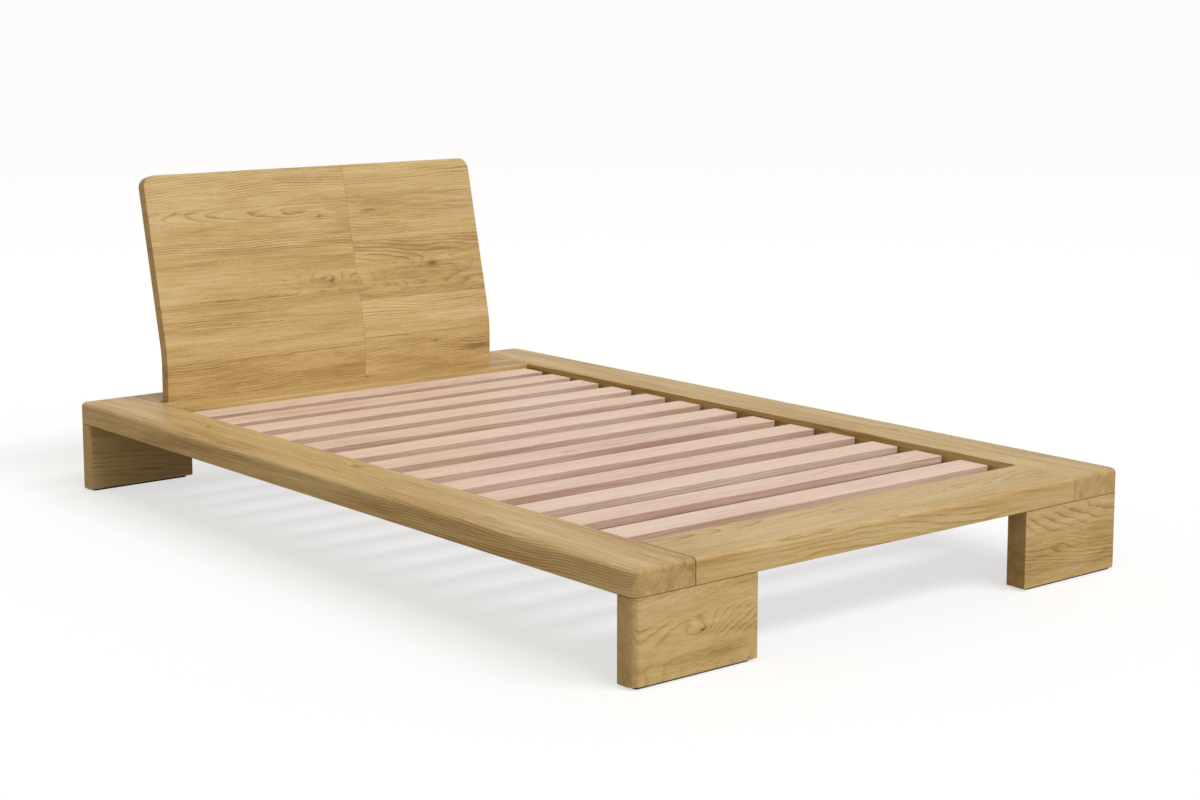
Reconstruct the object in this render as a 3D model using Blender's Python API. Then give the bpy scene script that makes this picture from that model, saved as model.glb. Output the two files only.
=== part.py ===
"""Low wooden bed frame: plank rails on board legs, a plug-in curved headboard and loose slats.

Units are metres, +Z is up, +Y runs from the foot end to the head end.  The origin is on the
floor, under the middle of the frame.  Left and right are as seen from the foot end.
"""

import math

import bmesh
import bpy
from mathutils import Vector

# Whole frame
BED_LENGTH = 2.190
BED_WIDTH = 1.400
RAIL_UNDERSIDE = 0.174        # clear height below the rails
RAIL_THICKNESS = 0.053
SIDE_RAIL_WIDTH = 0.152
FOOT_RAIL_WIDTH = 0.163
HEAD_STRIP_WIDTH = 0.104      # cross rail in front of the headboard
HEAD_RAIL_WIDTH = 0.152       # cross rail behind the headboard

# Edges
TOP_ROUND = 0.010             # round-over along the outer top edges
CORNER_ROUND = 0.020          # upright corners at the bed's four corners, rails and legs alike
LEG_BACK_ROUND = 0.008        # the legs' other upright outer corners
EASED_EDGE = 0.0012           # every other arris
ROUND_STEPS = 5               # facets in a quarter round

# Headboard
HEADBOARD_TOP = 0.799
HEADBOARD_THICKNESS = 0.030
HEADBOARD_GAP_LEFT = 0.021    # from the panel's end to the side rail's inner face
HEADBOARD_GAP_RIGHT = 0.055
HEADBOARD_LEAN = math.radians(13.0)
HEADBOARD_BEND_HEIGHT = 0.346
HEADBOARD_BEND_RADIUS = 0.30
HEADBOARD_CORNER = 0.030
HEADBOARD_EDGE = 0.0025
BEND_STEPS = 6
REBATE_FLOOR = 0.010          # wood left under the panel in the head rail
REBATE_BACK_PLAY = 0.001
REBATE_PLAY_LEFT = 0.010
REBATE_PLAY_RIGHT = 0.002

# Legs and pads
LEG_WIDTHS = {"foot": 0.311, "head": 0.293}
LEG_THICKNESS = 0.050
PAD_HEIGHT = 0.005
PAD_INSET_ENDS = 0.014
PAD_INSET_SIDES = 0.008
PAD_CORNER = 0.006

# Slats and the ledgers that carry them
SLAT_COUNT = 13
SLAT_WIDTH = 0.080
SLAT_THICKNESS = 0.020
SLAT_EDGE = 0.0015
SLAT_UNDER_ROUND = 0.005      # along the two long lower edges
SLAT_DROP = 0.010             # slat tops below the rail tops
SLAT_END_GAP = 0.014          # slat end to side rail
SLAT_HEAD_GAP = 0.006         # first slat to the head strip
SLAT_FOOT_GAP = 0.070         # last slat to the foot rail
TIGHT_SPACINGS = 2            # spacings next to the head end that are closer
TIGHT_SHARE = 0.90            # of the ordinary spacing
LEDGER_WIDTH = 0.035
LEDGER_RISE = 0.002           # ledger underside above the rail underside

# Fasteners
LEG_SCREW_RADIUS = 0.004
LEG_SCREW_HEAD_RADIUS = 0.0065
LEG_SCREW_HEAD_HEIGHT = 0.008
LEG_SCREW_GRIP = 0.070        # leg wood between the head and the rail
LEG_SCREW_BITE = 0.031        # length in the rail
LEG_COUNTERBORE_RADIUS = 0.008
LEDGER_SCREW_RADIUS = 0.0023
LEDGER_SCREW_HEAD_RADIUS = 0.0045
LEDGER_SCREW_BITE = 0.025
LEDGER_SCREW_COUNT = 3
DOWEL_RADIUS = 0.005
DOWEL_BITE = 0.030            # length in each of the two pieces
DOWEL_CHAMFER = 0.001
TIP_ROOM = 0.001              # bore beyond the end of a screw or dowel
SOCKET_SHARE = 0.5            # hex socket width and depth over the head's
TURNED_SIDES = 16

CLEARANCE = 0.0003            # between pieces that touch

# Worked out from the sizes above
RAIL_TOP = RAIL_UNDERSIDE + RAIL_THICKNESS
RAIL_MIDDLE = RAIL_UNDERSIDE + RAIL_THICKNESS / 2
HALF_WIDTH = BED_WIDTH / 2
FOOT_END = -BED_LENGTH / 2
HEAD_END = BED_LENGTH / 2
INNER_FACE = HALF_WIDTH - SIDE_RAIL_WIDTH
FOOT_RAIL_INNER = FOOT_END + FOOT_RAIL_WIDTH
HEAD_RAIL_FRONT = HEAD_END - HEAD_RAIL_WIDTH
HEAD_STRIP_FRONT = HEAD_RAIL_FRONT - HEAD_STRIP_WIDTH
HEADBOARD_FRONT = HEAD_RAIL_FRONT + CLEARANCE
REBATE_BACK = HEADBOARD_FRONT + HEADBOARD_THICKNESS + REBATE_BACK_PLAY
REBATE_FLOOR_HEIGHT = RAIL_UNDERSIDE + REBATE_FLOOR
HEADBOARD_LEFT = -INNER_FACE + HEADBOARD_GAP_LEFT
HEADBOARD_RIGHT = INNER_FACE - HEADBOARD_GAP_RIGHT
SLAT_TOP = RAIL_TOP - SLAT_DROP
SLAT_UNDERSIDE = SLAT_TOP - SLAT_THICKNESS
LEG_TOP = RAIL_UNDERSIDE - CLEARANCE
LEG_BOTTOM = PAD_HEIGHT + CLEARANCE
LEG_SCREW_SEAT = RAIL_UNDERSIDE - LEG_SCREW_GRIP

ENDS = {"foot": -1, "head": 1}
SIDES = {"left": -1, "right": 1}

WOOD = ("oiled_wood", (0.56, 0.37, 0.17), 0.50, 0.0)
SLAT_WOOD = ("slat_beech", (0.76, 0.60, 0.49), 0.60, 0.0)
LEDGER_WOOD = ("ledger_stained", (0.07, 0.05, 0.04), 0.65, 0.0)
STEEL = ("zinc_steel", (0.62, 0.62, 0.60), 0.35, 1.0)
DOWEL_WOOD = ("dowel_beech", (0.66, 0.48, 0.32), 0.60, 0.0)
PAD_FELT = ("pad_felt", (0.05, 0.035, 0.025), 0.90, 0.0)


def clear_scene():
    """Removes whatever the opened file holds."""
    for thing in list(bpy.data.objects):
        bpy.data.objects.remove(thing, do_unlink=True)


def finish_for(name, look):
    """Gives a piece a material of its own with the look's colour, roughness and metal."""
    label, colour, roughness, metallic = look
    material = bpy.data.materials.new(f"{label}_{name}")
    material.use_nodes = True
    shader = material.node_tree.nodes["Principled BSDF"]
    shader.inputs["Base Color"].default_value = (*colour, 1.0)
    shader.inputs["Roughness"].default_value = roughness
    shader.inputs["Metallic"].default_value = metallic
    return material


def add_object(name, shape, look=None):
    """Puts a bmesh into the scene as a named object."""
    bmesh.ops.recalc_face_normals(shape, faces=shape.faces)
    mesh = bpy.data.meshes.new(name)
    shape.to_mesh(mesh)
    shape.free()
    piece = bpy.data.objects.new(name, mesh)
    bpy.context.scene.collection.objects.link(piece)
    if look:
        mesh.materials.append(finish_for(name, look))
    return piece


def rounded_outline(low, high, radii):
    """A rectangle from low to high as points, its corners rounded by the four radii.

    The radii are for the corners (low x, low y), (high x, low y), (high x, high y), (low x, high y).
    """
    corners = [(low[0], low[1]), (high[0], low[1]), (high[0], high[1]), (low[0], high[1])]
    inward = [(1, 1), (-1, 1), (-1, -1), (1, -1)]
    points = []
    for index, ((x, y), (turn_x, turn_y), radius) in enumerate(zip(corners, inward, radii)):
        if radius == 0:
            points.append((x, y))
            continue
        for step in range(ROUND_STEPS + 1):
            angle = math.radians(180 + 90 * index) + math.pi / 2 * step / ROUND_STEPS
            centre_x = x + turn_x * radius
            centre_y = y + turn_y * radius
            points.append((centre_x + radius * math.cos(angle), centre_y + radius * math.sin(angle)))
    return points


def prism(outline, bottom, top):
    """An outline in plan drawn up into a block, as a bmesh."""
    shape = bmesh.new()
    base = [shape.verts.new((x, y, bottom)) for x, y in outline]
    face = shape.faces.new(base)
    drawn = bmesh.ops.extrude_face_region(shape, geom=[face])
    moved = [item for item in drawn["geom"] if isinstance(item, bmesh.types.BMVert)]
    bmesh.ops.translate(shape, verts=moved, vec=(0, 0, top - bottom))
    return shape


def round_over(shape, level, wanted, radius=TOP_ROUND):
    """Rounds the edges at one level whose middle point passes the wanted test."""
    shape.edges.ensure_lookup_table()
    chosen = []
    for edge in shape.edges:
        middle = (edge.verts[0].co + edge.verts[1].co) / 2
        lies_there = all(abs(vert.co.z - level) < CLEARANCE / 3 for vert in edge.verts)
        if lies_there and wanted(middle):
            chosen.append(edge)
    bmesh.ops.bevel(shape, geom=chosen, offset=radius, segments=ROUND_STEPS, profile=0.5,
                    affect="EDGES", clamp_overlap=True)


def ease_edges(piece, width, segments=1):
    """Takes the sharp arrises off a piece and leaves its large rounds alone."""
    bevel = piece.modifiers.new("eased_edges", "BEVEL")
    bevel.width = width
    bevel.segments = segments
    bevel.limit_method = "ANGLE"
    bevel.angle_limit = math.radians(50)


def turned_points(profile, start, direction):
    """The rings of a turned solid: profile is (distance along the axis, radius) pairs."""
    axis = Vector(direction).normalized()
    across = axis.orthogonal().normalized()
    other = axis.cross(across)
    rings = []
    for along, radius in profile:
        centre = Vector(start) + axis * along
        ring = []
        for side in range(TURNED_SIDES):
            angle = 2 * math.pi * side / TURNED_SIDES
            ring.append(centre + across * radius * math.cos(angle) + other * radius * math.sin(angle))
        rings.append(ring)
    return rings


def add_turned(shape, profile, start, direction):
    """Adds one turned solid to a bmesh."""
    rings = [[shape.verts.new(point) for point in ring]
             for ring in turned_points(profile, start, direction)]
    for lower, upper in zip(rings, rings[1:]):
        for side in range(TURNED_SIDES):
            after = (side + 1) % TURNED_SIDES
            shape.faces.new((lower[side], lower[after], upper[after], upper[side]))
    shape.faces.new(rings[0])
    shape.faces.new(rings[-1])


def hide_cutter(cutter):
    """Marks an object as a cutting shape that isn't part of the bed."""
    cutter.hide_render = True
    cutter.display_type = "WIRE"


def cut(piece, cutter):
    """Takes a cutting shape away from a piece."""
    hide_cutter(cutter)
    difference = piece.modifiers.new("cut", "BOOLEAN")
    difference.operation = "DIFFERENCE"
    difference.solver = "EXACT"
    difference.object = cutter


def drill(piece, bores):
    """Drills a piece: each bore is a start point, a direction and a turned profile."""
    shape = bmesh.new()
    for start, direction, profile in bores:
        add_turned(shape, profile, start, direction)
    cut(piece, add_object(f"cutter_bores_{piece.name}", shape))


def smooth_round_parts(piece):
    """Shades a round piece smooth and keeps its edges crisp."""
    piece.data.shade_smooth()
    piece.data.set_sharp_from_angle(angle=math.radians(35))


# Where the fasteners go

def leg_screw_places(end, side):
    """The plan positions of a leg's two screws: one under the side rail, one under the cross rail."""
    y = ENDS[end] * (BED_LENGTH / 2 - LEG_THICKNESS / 2)
    under_side_rail = HALF_WIDTH - SIDE_RAIL_WIDTH / 2
    under_cross_rail = HALF_WIDTH - (SIDE_RAIL_WIDTH + LEG_WIDTHS[end]) / 2
    return {
        "side": (SIDES[side] * under_side_rail, y),
        "cross": (SIDES[side] * under_cross_rail, y),
    }


def leg_screw_bore(place):
    """The pilot bore that takes a leg screw in the underside of a rail."""
    depth = CLEARANCE + LEG_SCREW_BITE + TIP_ROOM
    radius = LEG_SCREW_RADIUS + CLEARANCE
    start = (*place, RAIL_UNDERSIDE - CLEARANCE)
    return start, (0, 0, 1), [(0, radius), (depth, radius)]


def dowel_lines():
    """The dowels' y positions for each cross rail, at a quarter and three quarters of its solid wood."""
    spans = {
        "foot_rail": (FOOT_END, FOOT_RAIL_INNER),
        "head_strip": (HEAD_STRIP_FRONT, HEAD_RAIL_FRONT),
        "head_rail": (REBATE_BACK, HEAD_END),
    }
    return {rail: [low + (high - low) * share for share in (0.25, 0.75)]
            for rail, (low, high) in spans.items()}


def dowel_bores(lines, side):
    """Bores for dowels across the joint at one side rail's inner face, deep enough on both sides."""
    radius = DOWEL_RADIUS + CLEARANCE
    reach = DOWEL_BITE + TIP_ROOM
    return [((SIDES[side] * INNER_FACE - reach, y, RAIL_MIDDLE), (1, 0, 0),
             [(0, radius), (2 * reach, radius)]) for y in lines]


def ledger_height():
    """The ledger's middle, where its screws go through."""
    return (RAIL_UNDERSIDE + LEDGER_RISE + SLAT_UNDERSIDE) / 2


def ledger_screw_lines():
    """The y positions of the screws along a ledger."""
    length = HEAD_STRIP_FRONT - FOOT_RAIL_INNER
    return [FOOT_RAIL_INNER + length * (index + 0.5) / LEDGER_SCREW_COUNT
            for index in range(LEDGER_SCREW_COUNT)]


def ledger_screw_profile(grow):
    """The countersunk screw from its head inwards; grow makes the bore that clears it."""
    head = LEDGER_SCREW_HEAD_RADIUS + grow
    shank = LEDGER_SCREW_RADIUS + grow
    cone = LEDGER_SCREW_HEAD_RADIUS - LEDGER_SCREW_RADIUS
    length = LEDGER_WIDTH + LEDGER_SCREW_BITE
    return head, shank, cone, length


# The pieces

def make_side_rails():
    """Two full-length planks with rounded outer corners and a rounded outer top edge."""
    lines = [y for group in dowel_lines().values() for y in group]
    for side, sign in SIDES.items():
        outer = sign * HALF_WIDTH
        inner = sign * INNER_FACE
        round_left = CORNER_ROUND if sign < 0 else 0
        round_right = CORNER_ROUND if sign > 0 else 0
        outline = rounded_outline((min(outer, inner), FOOT_END), (max(outer, inner), HEAD_END),
                                  (round_left, round_right, round_right, round_left))
        shape = prism(outline, RAIL_UNDERSIDE, RAIL_TOP)
        round_over(shape, RAIL_TOP, lambda middle: abs(middle.x) > INNER_FACE + CLEARANCE)
        rail = add_object(f"side_rail_{side}", shape, WOOD)
        ease_edges(rail, EASED_EDGE)
        bores = dowel_bores(lines, side)
        for end in ENDS:
            bores.append(leg_screw_bore(leg_screw_places(end, side)["side"]))
        radius = LEDGER_SCREW_RADIUS + CLEARANCE
        depth = CLEARANCE + LEDGER_SCREW_BITE + TIP_ROOM
        for y in ledger_screw_lines():
            start = (inner - sign * CLEARANCE, y, ledger_height())
            bores.append((start, (sign, 0, 0), [(0, radius), (depth, radius)]))
        drill(rail, bores)


def make_cross_rail(name, low, high, rounded_y, screw_end):
    """A plank between the side rails; rounded_y is the end of the bed that its round-over faces."""
    half = INNER_FACE - CLEARANCE
    outline = rounded_outline((-half, low), (half, high), (0, 0, 0, 0))
    shape = prism(outline, RAIL_UNDERSIDE, RAIL_TOP)
    if rounded_y is not None:
        round_over(shape, RAIL_TOP, lambda middle: abs(middle.y - rounded_y) < CLEARANCE)
    rail = add_object(name, shape, WOOD)
    ease_edges(rail, EASED_EDGE)
    bores = []
    for side in SIDES:
        bores += dowel_bores(dowel_lines()[name], side)
        if screw_end:
            bores.append(leg_screw_bore(leg_screw_places(screw_end, side)["cross"]))
    drill(rail, bores)
    return rail


def make_cross_rails():
    """The foot rail, the head strip, and the head rail with its rebate for the headboard."""
    make_cross_rail("foot_rail", FOOT_END, FOOT_RAIL_INNER, FOOT_END, "foot")
    make_cross_rail("head_strip", HEAD_STRIP_FRONT, HEAD_RAIL_FRONT - CLEARANCE, None, None)
    head_rail = make_cross_rail("head_rail", HEAD_RAIL_FRONT, HEAD_END, HEAD_END, "head")
    outline = rounded_outline(
        (HEADBOARD_LEFT - REBATE_PLAY_LEFT, HEAD_RAIL_FRONT - TOP_ROUND),
        (HEADBOARD_RIGHT + REBATE_PLAY_RIGHT, REBATE_BACK),
        (0, 0, 0, 0))
    rebate = prism(outline, REBATE_FLOOR_HEIGHT, RAIL_TOP + TOP_ROUND)
    cut(head_rail, add_object("cutter_rebate", rebate))


def headboard_rows():
    """The panel's front and back lines from bottom to top, as (front y, front z, back y, back z)."""
    rows = []
    foot_z = REBATE_FLOOR_HEIGHT + CLEARANCE
    tangent = HEADBOARD_BEND_RADIUS * math.tan(HEADBOARD_LEAN / 2)
    bend_start = HEADBOARD_BEND_HEIGHT - tangent
    back_radius = HEADBOARD_BEND_RADIUS - HEADBOARD_THICKNESS
    centre_y = HEADBOARD_FRONT + HEADBOARD_BEND_RADIUS
    rows.append((HEADBOARD_FRONT, foot_z, HEADBOARD_FRONT + HEADBOARD_THICKNESS, foot_z))
    for step in range(BEND_STEPS + 1):
        angle = HEADBOARD_LEAN * step / BEND_STEPS
        rows.append((
            centre_y - HEADBOARD_BEND_RADIUS * math.cos(angle),
            bend_start + HEADBOARD_BEND_RADIUS * math.sin(angle),
            centre_y - back_radius * math.cos(angle),
            bend_start + back_radius * math.sin(angle),
        ))
    front_y, front_z, back_y, back_z = rows[-1]
    length = (HEADBOARD_TOP - front_z) / math.cos(HEADBOARD_LEAN)
    for step in range(ROUND_STEPS + 1):
        down = HEADBOARD_CORNER * (1 - math.sin(math.pi / 2 * step / ROUND_STEPS))
        along = length - down
        rise_y = along * math.sin(HEADBOARD_LEAN)
        rise_z = along * math.cos(HEADBOARD_LEAN)
        rows.append((front_y + rise_y, front_z + rise_z, back_y + rise_y, back_z + rise_z))
    return rows


def make_headboard():
    """One solid panel: an upright foot, a gentle bend, and a face that leans back to round corners."""
    rows = headboard_rows()
    rounded = len(rows) - ROUND_STEPS - 1
    shape = bmesh.new()
    rings = []
    for index, (front_y, front_z, back_y, back_z) in enumerate(rows):
        pulled_in = 0
        if index > rounded:
            angle = math.pi / 2 * (index - rounded) / ROUND_STEPS
            pulled_in = HEADBOARD_CORNER * (1 - math.cos(angle))
        left = HEADBOARD_LEFT + pulled_in
        right = HEADBOARD_RIGHT - pulled_in
        rings.append([shape.verts.new(point) for point in (
            (left, front_y, front_z), (right, front_y, front_z),
            (right, back_y, back_z), (left, back_y, back_z))])
    for lower, upper in zip(rings, rings[1:]):
        for side in range(4):
            after = (side + 1) % 4
            shape.faces.new((lower[side], lower[after], upper[after], upper[side]))
    shape.faces.new(rings[0])
    shape.faces.new(rings[-1])
    panel = add_object("headboard", shape, WOOD)
    ease_edges(panel, HEADBOARD_EDGE, segments=2)


def make_legs():
    """Four board legs, each under a side rail and its cross rail, screwed up into both."""
    for end, end_sign in ENDS.items():
        for side, side_sign in SIDES.items():
            outer_x = side_sign * HALF_WIDTH
            inner_x = side_sign * (HALF_WIDTH - LEG_WIDTHS[end])
            outer_y = end_sign * BED_LENGTH / 2
            inner_y = end_sign * (BED_LENGTH / 2 - LEG_THICKNESS)
            rounds = {end_sign: CORNER_ROUND, -end_sign: LEG_BACK_ROUND}
            corners = [(-1, -1), (1, -1), (1, 1), (-1, 1)]
            outline = rounded_outline(
                (min(outer_x, inner_x), min(outer_y, inner_y)),
                (max(outer_x, inner_x), max(outer_y, inner_y)),
                [rounds[way_y] if way_x == side_sign else 0 for way_x, way_y in corners])
            leg = add_object(f"leg_{end}_{side}", prism(outline, LEG_BOTTOM, LEG_TOP), WOOD)
            ease_edges(leg, EASED_EDGE, segments=2)
            bores = []
            shank = LEG_SCREW_RADIUS + CLEARANCE
            seat = LEG_SCREW_SEAT - LEG_BOTTOM + CLEARANCE
            through = LEG_TOP - LEG_BOTTOM + 2 * CLEARANCE
            for place in leg_screw_places(end, side).values():
                start = (*place, LEG_BOTTOM - CLEARANCE)
                bores.append((start, (0, 0, 1), [
                    (0, LEG_COUNTERBORE_RADIUS), (seat, LEG_COUNTERBORE_RADIUS),
                    (seat, shank), (through, shank)]))
            drill(leg, bores)


def make_pads():
    """The thin felt pads that the legs stand on, set in from the legs' edges."""
    for end, end_sign in ENDS.items():
        for side, side_sign in SIDES.items():
            middle_x = side_sign * (HALF_WIDTH - LEG_WIDTHS[end] / 2)
            middle_y = end_sign * (BED_LENGTH - LEG_THICKNESS) / 2
            half_x = LEG_WIDTHS[end] / 2 - PAD_INSET_ENDS
            half_y = LEG_THICKNESS / 2 - PAD_INSET_SIDES
            outline = rounded_outline((middle_x - half_x, middle_y - half_y),
                                      (middle_x + half_x, middle_y + half_y), (PAD_CORNER,) * 4)
            add_object(f"pad_{end}_{side}", prism(outline, 0, PAD_HEIGHT), PAD_FELT)


def slat_lines():
    """The middle of each slat along the bed, from the head end to the foot end."""
    opening = HEAD_STRIP_FRONT - FOOT_RAIL_INNER
    run = opening - SLAT_HEAD_GAP - SLAT_FOOT_GAP - SLAT_WIDTH
    ordinary = run / (SLAT_COUNT - 1 - TIGHT_SPACINGS * (1 - TIGHT_SHARE))
    middle = HEAD_STRIP_FRONT - SLAT_HEAD_GAP - SLAT_WIDTH / 2
    lines = []
    for index in range(SLAT_COUNT):
        lines.append(middle)
        middle -= ordinary * (TIGHT_SHARE if index < TIGHT_SPACINGS else 1)
    return lines


def make_slats():
    """Loose slats that lie across the ledgers, a little below the rail tops."""
    half = INNER_FACE - SLAT_END_GAP
    for index, middle in enumerate(slat_lines(), start=1):
        outline = rounded_outline((-half, middle - SLAT_WIDTH / 2),
                                  (half, middle + SLAT_WIDTH / 2), (0, 0, 0, 0))
        shape = prism(outline, SLAT_UNDERSIDE, SLAT_TOP)
        round_over(shape, SLAT_UNDERSIDE, lambda middle: abs(middle.x) < half / 2,
                   SLAT_UNDER_ROUND)
        ease_edges(add_object(f"slat_{index:02d}", shape, SLAT_WOOD), SLAT_EDGE)


def make_ledgers():
    """The strips on the inner faces of the side rails, with countersunk holes for their screws."""
    for side, sign in SIDES.items():
        near = sign * (INNER_FACE - CLEARANCE)
        far = sign * (INNER_FACE - LEDGER_WIDTH)
        outline = rounded_outline((min(near, far), FOOT_RAIL_INNER + CLEARANCE),
                                  (max(near, far), HEAD_STRIP_FRONT - CLEARANCE), (0, 0, 0, 0))
        shape = prism(outline, RAIL_UNDERSIDE + LEDGER_RISE, SLAT_UNDERSIDE - CLEARANCE)
        ledger = add_object(f"ledger_{side}", shape, LEDGER_WOOD)
        ease_edges(ledger, EASED_EDGE)
        head, shank, cone, length = ledger_screw_profile(CLEARANCE)
        bores = []
        for y in ledger_screw_lines():
            start = (far - sign * CLEARANCE, y, ledger_height())
            bores.append((start, (sign, 0, 0), [
                (0, head), (2 * CLEARANCE, head), (2 * CLEARANCE + cone, shank), (length, shank)]))
        drill(ledger, bores)


def cut_hex_socket(screw, start, direction, radius, depth):
    """Sinks a hexagonal key socket into a screw's head."""
    axis = Vector(direction).normalized()
    across = axis.orthogonal().normalized()
    other = axis.cross(across)
    shape = bmesh.new()
    rings = []
    for along in (-depth, depth):
        ring = []
        for corner in range(6):
            angle = math.pi / 3 * corner
            point = Vector(start) + axis * along + across * radius * math.cos(angle)
            ring.append(shape.verts.new(point + other * radius * math.sin(angle)))
        rings.append(ring)
    for side in range(6):
        after = (side + 1) % 6
        shape.faces.new((rings[0][side], rings[0][after], rings[1][after], rings[1][side]))
    shape.faces.new(rings[0])
    shape.faces.new(rings[1])
    cut(screw, add_object(f"cutter_socket_{screw.name}", shape))


def make_leg_screws():
    """Long screws that go up through each leg into the rails."""
    total = LEG_SCREW_HEAD_HEIGHT + LEG_SCREW_GRIP + LEG_SCREW_BITE
    profile = [
        (0, LEG_SCREW_HEAD_RADIUS), (LEG_SCREW_HEAD_HEIGHT, LEG_SCREW_HEAD_RADIUS),
        (LEG_SCREW_HEAD_HEIGHT, LEG_SCREW_RADIUS), (total - 2 * LEG_SCREW_RADIUS, LEG_SCREW_RADIUS),
        (total, LEG_SCREW_RADIUS / 4)]
    for end in ENDS:
        for side in SIDES:
            for rail, place in leg_screw_places(end, side).items():
                start = (*place, LEG_SCREW_SEAT - LEG_SCREW_HEAD_HEIGHT - CLEARANCE)
                shape = bmesh.new()
                add_turned(shape, profile, start, (0, 0, 1))
                screw = add_object(f"leg_screw_{end}_{side}_{rail}", shape, STEEL)
                cut_hex_socket(screw, start, (0, 0, 1), LEG_SCREW_HEAD_RADIUS * SOCKET_SHARE,
                               LEG_SCREW_HEAD_HEIGHT * SOCKET_SHARE)
                smooth_round_parts(screw)


def make_ledger_screws():
    """Countersunk screws that hold each ledger to its side rail."""
    head, shank, cone, length = ledger_screw_profile(0)
    profile = [(0, head), (cone, shank), (length - 2 * shank, shank), (length, shank / 4)]
    for side, sign in SIDES.items():
        for index, y in enumerate(ledger_screw_lines(), start=1):
            start = (sign * (INNER_FACE - LEDGER_WIDTH + CLEARANCE), y, ledger_height())
            shape = bmesh.new()
            add_turned(shape, profile, start, (sign, 0, 0))
            screw = add_object(f"ledger_screw_{side}_{index}", shape, STEEL)
            cut_hex_socket(screw, start, (sign, 0, 0), head * SOCKET_SHARE, cone * SOCKET_SHARE)
            smooth_round_parts(screw)


def make_dowels():
    """Two dowels across each joint between a cross rail and a side rail."""
    profile = [
        (0, DOWEL_RADIUS - DOWEL_CHAMFER), (DOWEL_CHAMFER, DOWEL_RADIUS),
        (2 * DOWEL_BITE - DOWEL_CHAMFER, DOWEL_RADIUS), (2 * DOWEL_BITE, DOWEL_RADIUS - DOWEL_CHAMFER)]
    for rail, lines in dowel_lines().items():
        for side, sign in SIDES.items():
            for index, y in enumerate(lines, start=1):
                start = (sign * INNER_FACE - DOWEL_BITE, y, RAIL_MIDDLE)
                shape = bmesh.new()
                add_turned(shape, profile, start, (1, 0, 0))
                smooth_round_parts(add_object(f"dowel_{rail}_{side}_{index}", shape, DOWEL_WOOD))


def main():
    """Builds the bed frame."""
    clear_scene()
    make_side_rails()
    make_cross_rails()
    make_headboard()
    make_legs()
    make_pads()
    make_slats()
    make_ledgers()
    make_leg_screws()
    make_ledger_screws()
    make_dowels()


main()
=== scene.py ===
"""Low wooden bed frame: its visible boards, their oiled oak and beech finishes, and the studio.

Laid out as an add-on and run as a script.  Units are metres, +Z is up, +Y runs from the foot end
to the head end, and left and right are as seen from the foot end.
"""

import math
import random
from collections import namedtuple

import bmesh
import bpy
import numpy as np
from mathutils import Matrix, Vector


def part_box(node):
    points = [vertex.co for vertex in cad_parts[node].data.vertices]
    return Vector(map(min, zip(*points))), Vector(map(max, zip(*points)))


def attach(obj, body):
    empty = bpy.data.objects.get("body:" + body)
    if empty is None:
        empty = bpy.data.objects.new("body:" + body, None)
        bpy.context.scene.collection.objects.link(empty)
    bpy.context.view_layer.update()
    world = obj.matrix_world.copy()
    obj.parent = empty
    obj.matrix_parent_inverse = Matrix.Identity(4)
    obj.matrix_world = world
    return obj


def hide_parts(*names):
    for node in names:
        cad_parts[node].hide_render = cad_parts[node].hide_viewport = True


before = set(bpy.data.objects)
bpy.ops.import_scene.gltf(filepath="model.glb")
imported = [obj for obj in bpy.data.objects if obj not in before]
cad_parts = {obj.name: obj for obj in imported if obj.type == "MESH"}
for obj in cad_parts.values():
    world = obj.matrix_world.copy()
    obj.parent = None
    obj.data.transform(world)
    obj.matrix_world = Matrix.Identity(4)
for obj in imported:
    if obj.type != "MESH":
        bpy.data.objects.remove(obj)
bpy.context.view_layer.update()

bl_info = {
    "name": "Plank bed frame",
    "version": (1, 0, 0),
    "blender": (4, 5, 0),
    "location": "3D View > Sidebar > Bed",
    "description": "Builds the boards, finishes and studio of a low plank bed frame",
    "category": "Object",
}

ENDS = {"foot": -1, "head": 1}
SIDES = {"left": -1, "right": 1}
PLAN_CORNERS = ((-1, -1), (1, -1), (1, 1), (-1, 1))   # the order in which outlines run
SLATS = sorted(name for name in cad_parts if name.startswith("slat_"))

INNER_FACE = -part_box("side_rail_left")[1].x
PANEL_LOW, PANEL_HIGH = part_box("headboard")
PANEL_THICKNESS = 0.030

# Meshing
ROUND_STEPS = 10              # facets in a quarter round
BEND_STEPS = 20               # facets in the headboard's bend
TOP_CORNER_STEPS = 12         # rows in the headboard's top corners
CLOSEST_ROWS = 0.0008         # rows of the headboard nearer than this are merged
SHARP_ANGLE = math.radians(32)
EASED_ANGLE = math.radians(50)
FACE_WEIGHT = 60              # how strongly large faces keep their own shading
LEVEL_PLAY = 1e-5             # two heights this close are one level
SIDE_PLAY = 1e-4              # room in the tests for which edges lie at an outer face

# Bores and recesses
BORE_PLAY = 0.0003            # round each fastener
BORE_SIDES = 24
PAST_FACE = 0.001             # how far a cutter runs past the face it cuts
LEG_SHANK_BORE = 0.0043
LEG_SINK_BORE = 0.0080
LEG_SINK_ABOVE = 0.0083       # from the bottom of a screw's head up to the end of its sink
REBATE_DEPTH = PANEL_THICKNESS + 0.0013
REBATE_PLAY_LEFT = 0.010
REBATE_PLAY_RIGHT = 0.002
REBATE_FLOOR_PLAY = 0.0003
REBATE_PAST = 0.010

# Felt pads
PAD_CORNER = 0.006
PAD_EDGE = 0.0012

# Telling a board's faces, edges and ends apart
STEEP_FACE = 0.6              # an edge looks less squarely out of the board's face than this; such faces take the painted side shade
ARRIS_TURN = 0.97             # an arris faces no axis as squarely as this
ARRIS_AREA = 0.004
END_GRAIN_FROM = 0.25         # how squarely a face looks along the fibres before end grain shows
END_GRAIN_SPAN = 0.60
NO_SEAM = 1.0                 # a distance at which no joint shows


# Settings

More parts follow.
